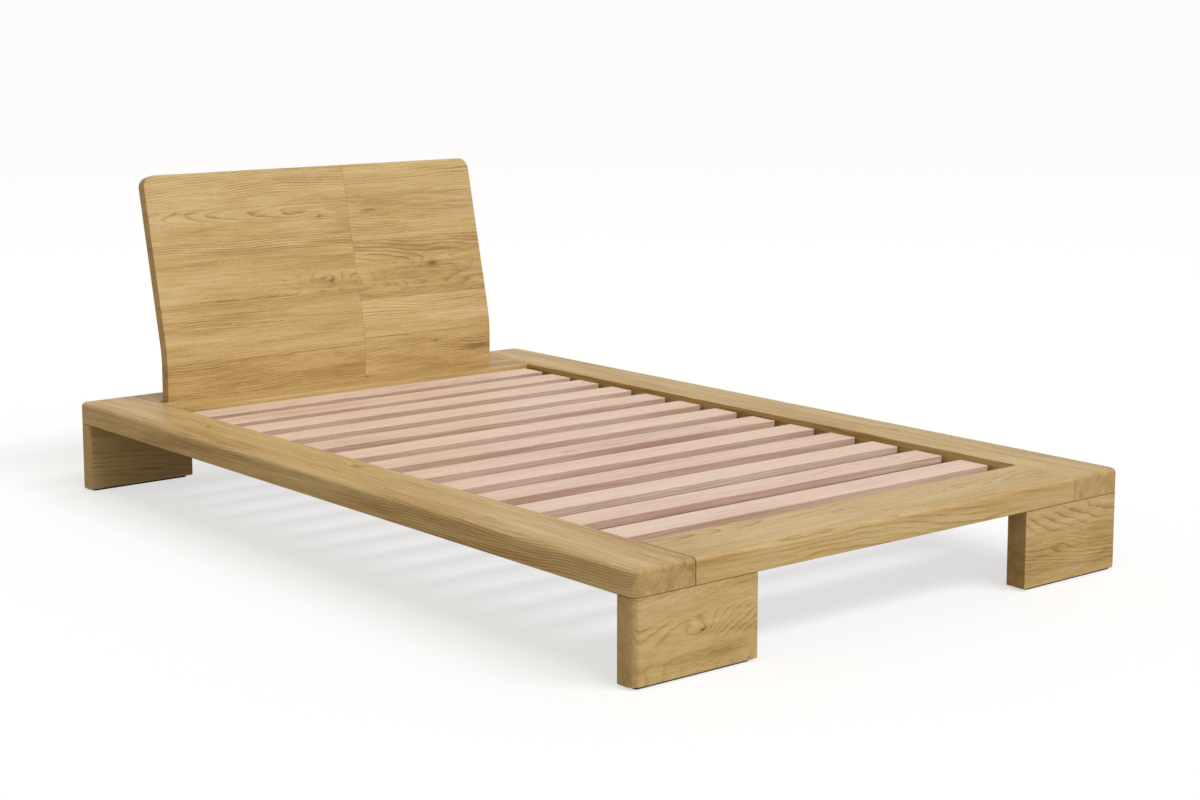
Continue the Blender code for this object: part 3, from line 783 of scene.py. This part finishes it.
class BED_OT_cross_rails(bpy.types.Operator):
    """The foot rail, the head strip, and the head rail with its rebate for the headboard"""

    bl_idname = "bed.cross_rails"
    bl_label = "Cross Rails"

    def execute(self, context):
        edges = settings("bed_boards")
        names = {"foot_rail": "foot_plank", "head_strip": "head_strip_plank",
                 "head_rail": "head_plank"}
        outer_faces = {"foot_rail": 0, "head_rail": 1}
        for node, name in names.items():
            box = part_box(node)
            low, high = box
            shape = prism(rounded_outline(low, high, (0,) * 4), low.z, high.z)
            if node in outer_faces:
                outer_y = box[outer_faces[node]].y
                round_over(shape, edges.top_round, high.z,
                           lambda middle: abs(middle.y - outer_y) < SIDE_PLAY)
            rail = new_object(name, shape)
            cutters = [bore_for(dowel, 0) for dowel in fasteners(f"dowel_{node}")]
            if node in outer_faces:
                end = node.split("_")[0]
                cutters += [bore_for(screw, 2) for screw in fasteners(f"leg_screw_{end}")
                            if screw.endswith("cross")]
            finished(rail, edges.eased_edge, cutters)
            if node == "head_rail":
                finished(rail, 0, [self.rebate(low, high)])
            oak_board(rail, node, f"oiled_oak_{name}", 0, 1, ((0, low.x), (0, high.x)),
                      seam_share=CROSS_JOINT_SHARE)
        return {"FINISHED"}

    @staticmethod
    def rebate(low, high):
        """The cutter for the stopped rebate that the headboard plugs into."""
        outline = rounded_outline((PANEL_LOW.x - REBATE_PLAY_LEFT, low.y - REBATE_PAST),
                                  (PANEL_HIGH.x + REBATE_PLAY_RIGHT, low.y + REBATE_DEPTH),
                                  (0,) * 4)
        return new_object("cutter_rebate", prism(outline, PANEL_LOW.z - REBATE_FLOOR_PLAY,
                                                 high.z + REBATE_PAST))


# Staves of the headboard's front, by how far up its face they start and end: the left ones meet
# the right ones at a butt joint.  Each has its log's heart and its tint.  The tints differ from
# stave to stave, and the top staves' paler tints are also a painted sheen.
BUTT_JOINT = 0.600            # from the panel's left end
PANEL_END = 1.000             # past the top of the face
LEFT_STAVES = [
    (0.000, 0.132, (-0.060, -0.100, -0.080), 0.13),
    (0.132, 0.286, (-0.045, -0.070, -0.020), -0.07),
    (0.286, 0.440, (0.030, -0.080, 0.015), -0.03),
    (0.440, 0.5275, (0.066, -0.032, -0.062), -0.01),
    (0.5275, PANEL_END, (-0.110, -0.100, -0.060), -0.13)]
RIGHT_STAVES = [
    (0.000, 0.148, (-0.055, -0.120, -0.070), 0.03),
    (0.148, 0.2525, (0.125, -0.070, -0.020), -0.07),
    (0.2525, 0.4133, (0.060, -0.045, 0.070), 0.09),
    (0.4133, 0.536, (0.090, -0.050, -0.040), 0.02),
    (0.536, PANEL_END, (0.150, -0.075, 0.020), -0.13)]
STAVE_START = 41.0
STAVE_STEP = 5.3

# Knots and stains of the headboard's front, from the panel's left end and foot: place along and
# up, length and width, push on the rings, reach in sizes, and darkness.
PANEL_KNOTS = (
    (0.508, 0.491, 0.012, 0.003, 0.010, 5.0, 0.75),
    (0.430, 0.506, 0.035, 0.003, 0.006, 3.0, 0.35),
    (0.518, 0.315, 0.012, 0.006, 0.009, 3.6, 0.75),
    (0.480, 0.320, 0.036, 0.010, 0.010, 2.6, 0.28),
    (0.325, 0.287, 0.020, 0.0025, 0.004, 2.5, 0.60),
    (0.160, 0.289, 0.090, 0.0013, 0.0, 2.0, 0.60),
    (0.100, 0.521, 0.045, 0.002, 0.0, 2.0, 0.40),
    (0.667, 0.498, 0.030, 0.004, 0.010, 3.0, 0.50),
    (0.852, 0.337, 0.012, 0.006, 0.010, 4.0, 0.80),
    (0.775, 0.310, 0.036, 0.012, 0.016, 2.2, 0.22),
    (0.905, 0.330, 0.036, 0.002, 0.0, 2.0, 0.45),
    (0.832, 0.122, 0.008, 0.0025, 0.006, 4.0, 0.85),
    (0.732, 0.146, 0.006, 0.0016, 0.004, 4.0, 0.80),
    (0.975, 0.092, 0.055, 0.009, 0.010, 2.4, 0.60),
    (0.604, 0.044, 0.010, 0.003, 0.004, 3.0, 0.70),
)


def stave_at(along, up):
    """The stave at a spot of the headboard: its foot, head, heart, tint and start in its log."""
    left = along < BUTT_JOINT
    staves = LEFT_STAVES if left else RIGHT_STAVES
    index = next(i for i, stave in enumerate(staves) if up < stave[1] + 1e-6)
    start = STAVE_START + STAVE_STEP * (2 * index + (0 if left else 1))
    return (*staves[index], start)


def panel_path():
    """The headboard's front line: a function from the distance up it to y, z and lean, and the
    lengths of its straight foot, its bend and the whole line."""
    shape = settings("bed_headboard")
    tangent = shape.bend_radius * math.tan(shape.lean / 2)
    bend_start = shape.bend_height - tangent
    straight = bend_start - PANEL_LOW.z
    arc = shape.bend_radius * shape.lean
    centre_y = PANEL_LOW.y + shape.bend_radius
    bend_end_z = bend_start + shape.bend_radius * math.sin(shape.lean)
    total = straight + arc + (PANEL_HIGH.z - bend_end_z) / math.cos(shape.lean)

    def at(distance):
        if distance <= straight:
            return PANEL_LOW.y, PANEL_LOW.z + distance, 0.0
        angle = min((distance - straight) / shape.bend_radius, shape.lean)
        y = centre_y - shape.bend_radius * math.cos(angle)
        z = bend_start + shape.bend_radius * math.sin(angle)
        rest = max(distance - straight - arc, 0)
        return y + rest * math.sin(angle), z + rest * math.cos(angle), angle

    return at, straight, arc, total


def panel_rows(straight, arc, total, corner):
    """How far up the front line each row of the headboard's mesh lies."""
    marks = {0.0, straight, straight + arc, total - corner}
    marks |= {edge for stave in LEFT_STAVES + RIGHT_STAVES for edge in stave[:2]}
    marks |= {straight + arc * step / BEND_STEPS for step in range(BEND_STEPS + 1)}
    marks |= {total - corner * (1 - math.sin(math.pi / 2 * step / TOP_CORNER_STEPS))
              for step in range(TOP_CORNER_STEPS + 1)}
    rows = []
    for mark in sorted(marks):
        if mark <= total + 1e-9 and (not rows or mark - rows[-1] > CLOSEST_ROWS):
            rows.append(mark)
    rows[-1] = total
    return rows


class BED_OT_headboard(bpy.types.Operator):
    """One glued panel of staves: an upright foot, a gentle bend and a face that leans back"""

    bl_idname = "bed.headboard"
    bl_label = "Headboard"

    def execute(self, context):
        shape_settings = settings("bed_headboard")
        finish = settings("bed_finish")
        at, straight, arc, total = panel_path()
        corner = shape_settings.corner
        joint_x = PANEL_LOW.x + BUTT_JOINT
        mesh_shape = bmesh.new()
        rings = []
        for distance in panel_rows(straight, arc, total, corner):
            y, z, angle = at(distance)
            pulled_in = 0.0
            if distance > total - corner:
                rise = (distance - (total - corner)) / corner
                pulled_in = corner * (1 - math.sqrt(max(1 - rise * rise, 0)))
            left, right = PANEL_LOW.x + pulled_in, PANEL_HIGH.x - pulled_in
            back_y = y + PANEL_THICKNESS * math.cos(angle)
            back_z = z - PANEL_THICKNESS * math.sin(angle)
            rings.append([mesh_shape.verts.new(point) for point in (
                (left, y, z), (joint_x, y, z), (right, y, z),
                (right, back_y, back_z), (joint_x, back_y, back_z), (left, back_y, back_z))])
        for lower, upper in zip(rings, rings[1:]):
            for side in range(len(lower)):
                after = (side + 1) % len(lower)
                mesh_shape.faces.new((lower[side], lower[after], upper[after], upper[side]))
        for ring in (rings[0], rings[-1]):
            mesh_shape.faces.new((ring[0], ring[1], ring[4], ring[5]))
            mesh_shape.faces.new((ring[1], ring[2], ring[3], ring[4]))
        panel = new_object("headboard_panel", mesh_shape)
        finished(panel, shape_settings.edge, segments=4)
        knots = self.lay_staves(panel, at, straight, arc)
        oak = timber("oiled_oak_headboard", oak_tones(), tuple(finish.oak_knot), knots)
        shade(panel)
        dress(panel, oak, "headboard_wood", "headboard", "headboard")
        return {"FINISHED"}

    def lay_staves(self, panel, at, straight, arc):
        """Gives each stave its own place in a log, and returns the knots that show on them."""
        mesh = panel.data
        shape = settings("bed_headboard")
        centre = np.array([PANEL_LOW.y + shape.bend_radius, PANEL_LOW.z + straight])
        places = np.array([vert.co for vert in mesh.vertices])

        def unbend(y, z):
            """How far up the panel's front line, and how far behind it, a point lies."""
            if z <= centre[1]:
                return z - PANEL_LOW.z, y - PANEL_LOW.y
            from_centre = np.array([y, z]) - centre
            angle = math.atan2(from_centre[1], -from_centre[0])
            if angle <= shape.lean:
                depth = shape.bend_radius - np.hypot(*from_centre)
                return straight + shape.bend_radius * angle, depth
            front_y, front_z, lean = at(straight + arc)
            step = np.array([y - front_y, z - front_z])
            up = np.array([math.sin(lean), math.cos(lean)])
            back = np.array([math.cos(lean), -math.sin(lean)])
            return straight + arc + step @ up, step @ back

        unrolled = np.array([(x - PANEL_LOW.x, *unbend(y, z)) for x, y, z in places])
        grain = np.zeros((len(mesh.loops), 3))
        seams = np.full((len(mesh.loops), 3), NO_SEAM)
        tints = np.zeros(len(mesh.loops))
        for face in mesh.polygons:
            spots = unrolled[list(face.vertices)]
            middle = spots.mean(0)
            low, high, heart, tint, start = stave_at(middle[0], middle[1])
            for loop, (along, up, behind) in zip(face.loop_indices, spots):
                grain[loop] = (along + start, up - low - heart[0],
                               behind - heart[1] + heart[2] * along)
                seams[loop] = (up - low if low else NO_SEAM,
                               high - up if high < PANEL_END else NO_SEAM,
                               abs(along - BUTT_JOINT))
                tints[loop] = tint
        write_vectors(mesh, "grain", grain)
        write_board_facts(mesh, 0, tints)
        write_vectors(mesh, "seams", seams)
        knots = []
        for along, up, length, width, push, reach, darkness in PANEL_KNOTS:
            low, high, heart, tint, start = stave_at(along, up)
            knots.append(((along + start, up - low - heart[0], 0.0), (length, width), push, reach,
                          darkness))
        return knots


class BED_OT_legs(bpy.types.Operator):
    """Four board legs, well rounded at the bed's corners and less so at their other outer edges"""

    bl_idname = "bed.legs"
    bl_label = "Legs"

    def execute(self, context):
        edges = settings("bed_boards")
        for end, end_sign in ENDS.items():
            rounds = {end_sign: edges.corner_round, -end_sign: edges.leg_back_round}
            for side, sign in SIDES.items():
                node = f"leg_{end}_{side}"
                low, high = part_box(node)
                radii = [rounds[way_y] if way_x == sign else 0 for way_x, way_y in PLAN_CORNERS]
                leg = new_object(f"{end}_{side}_leg_board",
                                 prism(rounded_outline(low, high, radii), low.z, high.z))
                finished(leg, edges.eased_edge, self.cutters(f"leg_screw_{end}_{side}", low, high))
                oak_board(leg, node, f"oiled_oak_{node}", 0, 2, ((2, high.z),),
                          seam_share=LEG_JOINT_SHARE)
        return {"FINISHED"}

    @staticmethod
    def cutters(start, low, high):
        """Shank bores right through the leg, then sinks for the heads from below."""
        screws = fasteners(start)
        below = low.z - PAST_FACE
        shanks = [upright_bore(f"cutter_{screw}", screw, LEG_SHANK_BORE, below, high.z + PAST_FACE)
                  for screw in screws]
        sinks = [upright_bore(f"cutter_sink_{screw}", screw, LEG_SINK_BORE, below,
                              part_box(screw)[0].z + LEG_SINK_ABOVE) for screw in screws]
        return shanks + sinks


class BED_OT_pads(bpy.types.Operator):
    """Dark felt pads under the legs, softly rounded at the floor"""

    bl_idname = "bed.pads"
    bl_label = "Felt Pads"

    def execute(self, context):
        felt = felt_finish()
        for end in ENDS:
            for side in SIDES:
                node = f"pad_{end}_{side}"
                low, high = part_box(node)
                shape = prism(rounded_outline(low, high, (PAD_CORNER,) * 4), low.z, high.z)
                pad = finished(new_object(f"{end}_{side}_felt_pad", shape), PAD_EDGE)
                shade(pad)
                dress(pad, felt, "pad_felt", "root", node)
        return {"FINISHED"}


def felt_finish():
    """Dense dark felt with tangled fibres."""
    felt, wire, shader = blank_finish("dense_felt")
    place = wire.add("ShaderNodeTexCoord").outputs["Object"]
    hairs = wire.noise(place, (900.0, 900.0, 900.0), 4.0, 0.7, 1.5)
    patches = wire.noise(place, (60.0, 60.0, 60.0), 2.0)
    level = wire.maths("MULTIPLY_ADD", patches, 0.4, wire.maths("MULTIPLY", hairs, 0.6))
    wire.feed(shader.inputs["Base Color"],
              wire.ramp(level, [(0.30, (0.022, 0.016, 0.012)), (0.70, (0.085, 0.062, 0.048))]))
    shader.inputs["Roughness"].default_value = 0.95
    relief(wire, shader, hairs, 0.0006, 1.0)
    return felt


SLAT_SEED = 11
SLAT_LOG_START, SLAT_LOG_STEP = 200.0, 3.7
SLAT_SIDE_SHADE = 0.27         # painted shade: the slats' sides and edges are darker than their top faces


class BED_OT_slats(bpy.types.Operator):
    """Thirteen loose beech slats with softened arrises"""

    bl_idname = "bed.slats"
    bl_label = "Slats"

    def execute(self, context):
        edges = settings("bed_boards")
        chance = random.Random(SLAT_SEED)
        beech = beech_finish()
        for index, node in enumerate(SLATS):
            low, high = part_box(node)
            shape = prism(rounded_outline(low, high, (0,) * 4), low.z, high.z)
            round_over(shape, edges.slat_under_round, low.z,
                       lambda middle: abs(middle.x) < high.x / 2)
            slat = finished(new_object(f"beech_{node}", shape), edges.slat_edge)
            heart = (chance.uniform(-0.05, 0.05), -chance.uniform(0.03, 0.09),
                     chance.uniform(-0.03, 0.03))
            lay_grain(slat, 0, 1, heart, SLAT_LOG_START + SLAT_LOG_STEP * index,
                      chance.uniform(-0.10, 0.08), side_shade_tint=SLAT_SIDE_SHADE)
            shade(slat)
            dress(slat, beech, "slat_wood", node, node)
        return {"FINISHED"}


def beech_finish():
    """Pale pinkish planed beech with fine, quiet figure."""
    tones = beech_tones()
    return timber("planed_beech", tones, tones[-1], ring_spacing=0.0060, wander=0.010,
                  contrast=0.55, roughness=(0.50, 0.66), bump=0.00020)


LEDGER_HEART = (0.03, -0.05)
LEDGER_LOG_START, LEDGER_LOG_STEP = 260.0, 5
LEDGER_SHADES = (1.3, 1.0, 0.6)
LEDGER_KNOT_COLOUR = (0.01, 0.008, 0.006)


def painted_shade_ledger_finish():
    """Softwood in a near-black matt tone: painted shade for the dark gaps at the slats' ends."""
    darkening = settings("bed_finish").ledger_painted_shade
    return timber("shade_dark_softwood", [shaded(darkening, shade) for shade in LEDGER_SHADES],
                  LEDGER_KNOT_COLOUR, ring_spacing=0.004, roughness=(0.6, 0.75))


class BED_OT_ledgers(bpy.types.Operator):
    """The strips under the slats' ends, painted near-black as shade for the gaps there, with holes
    for their screws
    """

    bl_idname = "bed.ledgers"
    bl_label = "Ledgers"

    def execute(self, context):
        edges = settings("bed_boards")
        shade_dark_finish = painted_shade_ledger_finish()
        for side, sign in SIDES.items():
            node = f"ledger_{side}"
            low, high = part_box(node)
            shape = prism(rounded_outline(low, high, (0,) * 4), low.z, high.z)
            ledger = new_object(f"{side}_ledger_strip", shape)
            cutters = [bore_for(name, 0) for name in fasteners(f"ledger_screw_{side}")]
            finished(ledger, edges.eased_edge, cutters)
            lay_grain(ledger, 1, 0, (sign * LEDGER_HEART[0], LEDGER_HEART[1], 0.0),
                      LEDGER_LOG_START + LEDGER_LOG_STEP * sign)
            shade(ledger)
            dress(ledger, shade_dark_finish, "ledger_wood", "root", node)
        return {"FINISHED"}


class BED_OT_fasteners(bpy.types.Operator):
    """Zinc screws and beech dowels, which keep their own shapes and get their finishes"""

    bl_idname = "bed.fasteners"
    bl_label = "Screws and Dowels"

    def execute(self, context):
        zinc, dowel = zinc_finish(), dowel_finish()
        for name in fasteners("leg_screw_", "ledger_screw_"):
            set_finish(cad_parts[name], zinc)
        for name in fasteners("dowel_"):
            set_finish(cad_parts[name], dowel)
        return {"FINISHED"}


def set_finish(node, material):
    """Gives a carried-over node one finish on all its faces."""
    if not node.material_slots:
        node.data.materials.append(material)
    for slot in node.material_slots:
        slot.material = material


def zinc_finish():
    """Bright zinc plating with a crystalline bloom and fine turning marks."""
    zinc, wire, shader = blank_finish("bright_zinc")
    place = wire.add("ShaderNodeTexCoord").outputs["Object"]
    bloom = wire.noise(place, (260.0, 260.0, 260.0), 3.0, 0.6)
    marks = wire.noise(place, (90.0, 90.0, 4000.0), 2.0)
    wire.feed(shader.inputs["Base Color"],
              wire.ramp(bloom, [(0.3, (0.46, 0.47, 0.48)), (0.7, (0.70, 0.70, 0.68))]))
    shader.inputs["Metallic"].default_value = 1.0
    wire.feed(shader.inputs["Roughness"], wire.maths("MULTIPLY_ADD", bloom, 0.25, 0.24))
    relief(wire, shader, marks, 0.00005, 0.6)
    return zinc


def dowel_finish():
    """Plain beech dowel with fibres along its length."""
    wood, wire, shader = blank_finish("beech_dowel")
    place = wire.add("ShaderNodeTexCoord").outputs["Object"]
    fibres = wire.noise(place, (12.0, 700.0, 700.0), 3.0, 0.6)
    wire.feed(shader.inputs["Base Color"],
              wire.ramp(fibres, [(0.3, (0.70, 0.53, 0.36)), (0.7, (0.50, 0.33, 0.19))]))
    wire.feed(shader.inputs["Roughness"], wire.maths("MULTIPLY_ADD", fibres, 0.2, 0.5))
    relief(wire, shader, fibres, 0.0002, 0.6)
    return wood


FLOOR_RADIUS = 120.0
FLOOR_SIDES = 96
GLOW_COLOUR = (1.0, 0.995, 0.993, 1.0)
GLOW_FADE = (3.0, 14.0)       # the floor's own light falls off between these distances
GLOW_DROP = 0.035
BACKDROP = (0.972, 0.972, 0.972)
WARM_SIDE = (-0.9, 0.1)       # the surround turns from warm to white between these
KEY_WAY = Vector((-0.9, 3.1, -3.9)).normalized()
KEY_STEPS = (-1, 0, 1)        # three suns side by side, for a wide soft edge
KEY_STEP = 0.27
KEY_ANGLE = math.radians(18)
CAMERA_PLACE = (-3.2288, -4.0802, 1.2537)
CAMERA_TURN = (math.pi / 2 - 0.1445, 0.0, -0.6876)
CAMERA_SHIFT = -0.066667
CAMERA_REACH = 200.0


class BED_OT_stage(bpy.types.Operator):
    """Pale floor, soft studio lights and the camera"""

    bl_idname = "bed.stage"
    bl_label = "Studio"

    def execute(self, context):
        studio = settings("bed_studio")
        self.floor(studio)
        self.lights(studio)
        self.camera(studio)
        context.scene.view_settings.view_transform = "Standard"
        return {"FINISHED"}

    @staticmethod
    def floor(studio):
        """A wide pale disc whose own light, for the camera alone, keeps its shadows pale."""
        shape = bmesh.new()
        bmesh.ops.create_circle(shape, cap_ends=True, segments=FLOOR_SIDES, radius=FLOOR_RADIUS)
        floor = new_object("studio_floor", shape)
        material, wire, shader = blank_finish("pale_floor")
        shader.inputs["Base Color"].default_value = (*studio.floor_colour, 1.0)
        shader.inputs["Roughness"].default_value = 0.95
        shader.inputs["Specular IOR Level"].default_value = 0.0
        shader.inputs["Emission Color"].default_value = GLOW_COLOUR
        seen = wire.add("ShaderNodeLightPath").outputs["Is Camera Ray"]
        place = wire.add("ShaderNodeTexCoord").outputs["Object"]
        glow = wire.spread(wire.vector("LENGTH", place), *GLOW_FADE, studio.floor_glow,
                           studio.floor_glow - GLOW_DROP)
        wire.feed(shader.inputs["Emission Strength"], wire.maths("MULTIPLY", seen, glow))
        floor.data.materials.append(material)

    def lights(self, studio):
        """An even surround, warmer from the left, and a soft key from the foot end."""
        self.surround(studio)
        for step in KEY_STEPS:
            lamp = bpy.data.lights.new(f"key_{step + 1}", "SUN")
            lamp.energy = studio.key_power / len(KEY_STEPS)
            lamp.angle = KEY_ANGLE
            light = bpy.data.objects.new(lamp.name, lamp)
            aim = (KEY_WAY + Vector((KEY_STEP * step, 0, 0))).normalized()
            light.rotation_euler = aim.to_track_quat("-Z", "Y").to_euler()
            bpy.context.scene.collection.objects.link(light)

    @staticmethod
    def surround(studio):
        """Lights the bed from all round, and shows the camera a plain backdrop."""
        world = bpy.data.worlds.new("even_surround")
        bpy.context.scene.world = world
        world.use_nodes = True
        wire = Wiring(world.node_tree)
        background = world.node_tree.nodes["Background"]
        way = wire.add("ShaderNodeTexCoord").outputs["Generated"]
        side, _, rise = wire.add("ShaderNodeSeparateXYZ", {0: way}).outputs
        level = wire.add("ShaderNodeMapRange", {
            "Value": rise, "From Min": 0.0, "From Max": 1.0, "To Min": studio.low_surround,
            "To Max": studio.high_surround}).outputs["Result"]
        level = wire.maths("MULTIPLY_ADD", side, studio.right_bias, level)
        seen = wire.add("ShaderNodeLightPath").outputs["Is Camera Ray"]
        tone = wire.mix(wire.spread(side, *WARM_SIDE), studio.left_tone, (1.0, 1.0, 1.0))
        wire.feed(background.inputs["Color"], wire.mix(seen, tone, BACKDROP))
        strength = wire.add("ShaderNodeMix", {0: seen, 2: level, 3: 1.0}, data_type="FLOAT")
        wire.feed(background.inputs["Strength"], strength.outputs[0])

    @staticmethod
    def camera(studio):
        """The camera, off the front left corner at about chest height."""
        lens = bpy.data.cameras.new("studio_camera")
        lens.sensor_width = 36.0
        lens.lens = studio.lens
        lens.shift_y = CAMERA_SHIFT
        lens.clip_end = CAMERA_REACH
        camera = bpy.data.objects.new("studio_camera", lens)
        camera.location = CAMERA_PLACE
        camera.rotation_euler = CAMERA_TURN
        bpy.context.scene.collection.objects.link(camera)
        bpy.context.scene.camera = camera


OPERATORS = (
    BED_OT_side_rails, BED_OT_cross_rails, BED_OT_headboard, BED_OT_legs, BED_OT_pads,
    BED_OT_slats, BED_OT_ledgers, BED_OT_fasteners, BED_OT_stage)
SETTINGS = {
    "bed_boards": BoardSettings, "bed_headboard": HeadboardSettings,
    "bed_finish": FinishSettings, "bed_studio": StudioSettings}


class BED_PT_panel(bpy.types.Panel):
    """Lists the bed's pieces and settings"""

    bl_idname = "BED_PT_panel"
    bl_label = "Plank Bed Frame"
    bl_space_type = "VIEW_3D"
    bl_region_type = "UI"
    bl_category = "Bed"

    def draw(self, context):
        for operator in OPERATORS:
            self.layout.operator(operator.bl_idname)
        for name, group in SETTINGS.items():
            box = self.layout.box()
            for label in group.__annotations__:
                box.prop(getattr(context.scene, name), label)


def register():
    for group in SETTINGS.values():
        bpy.utils.register_class(group)
    for name, group in SETTINGS.items():
        setattr(bpy.types.Scene, name, bpy.props.PointerProperty(type=group))
    for kind in (*OPERATORS, BED_PT_panel):
        bpy.utils.register_class(kind)


def unregister():
    for kind in reversed((*OPERATORS, BED_PT_panel)):
        bpy.utils.unregister_class(kind)
    for name in SETTINGS:
        delattr(bpy.types.Scene, name)
    for group in SETTINGS.values():
        bpy.utils.unregister_class(group)


def main():
    register()
    for operator in OPERATORS:
        family, name = operator.bl_idname.split(".")
        getattr(getattr(bpy.ops, family), name)()


if __name__ == "__main__":
    main()
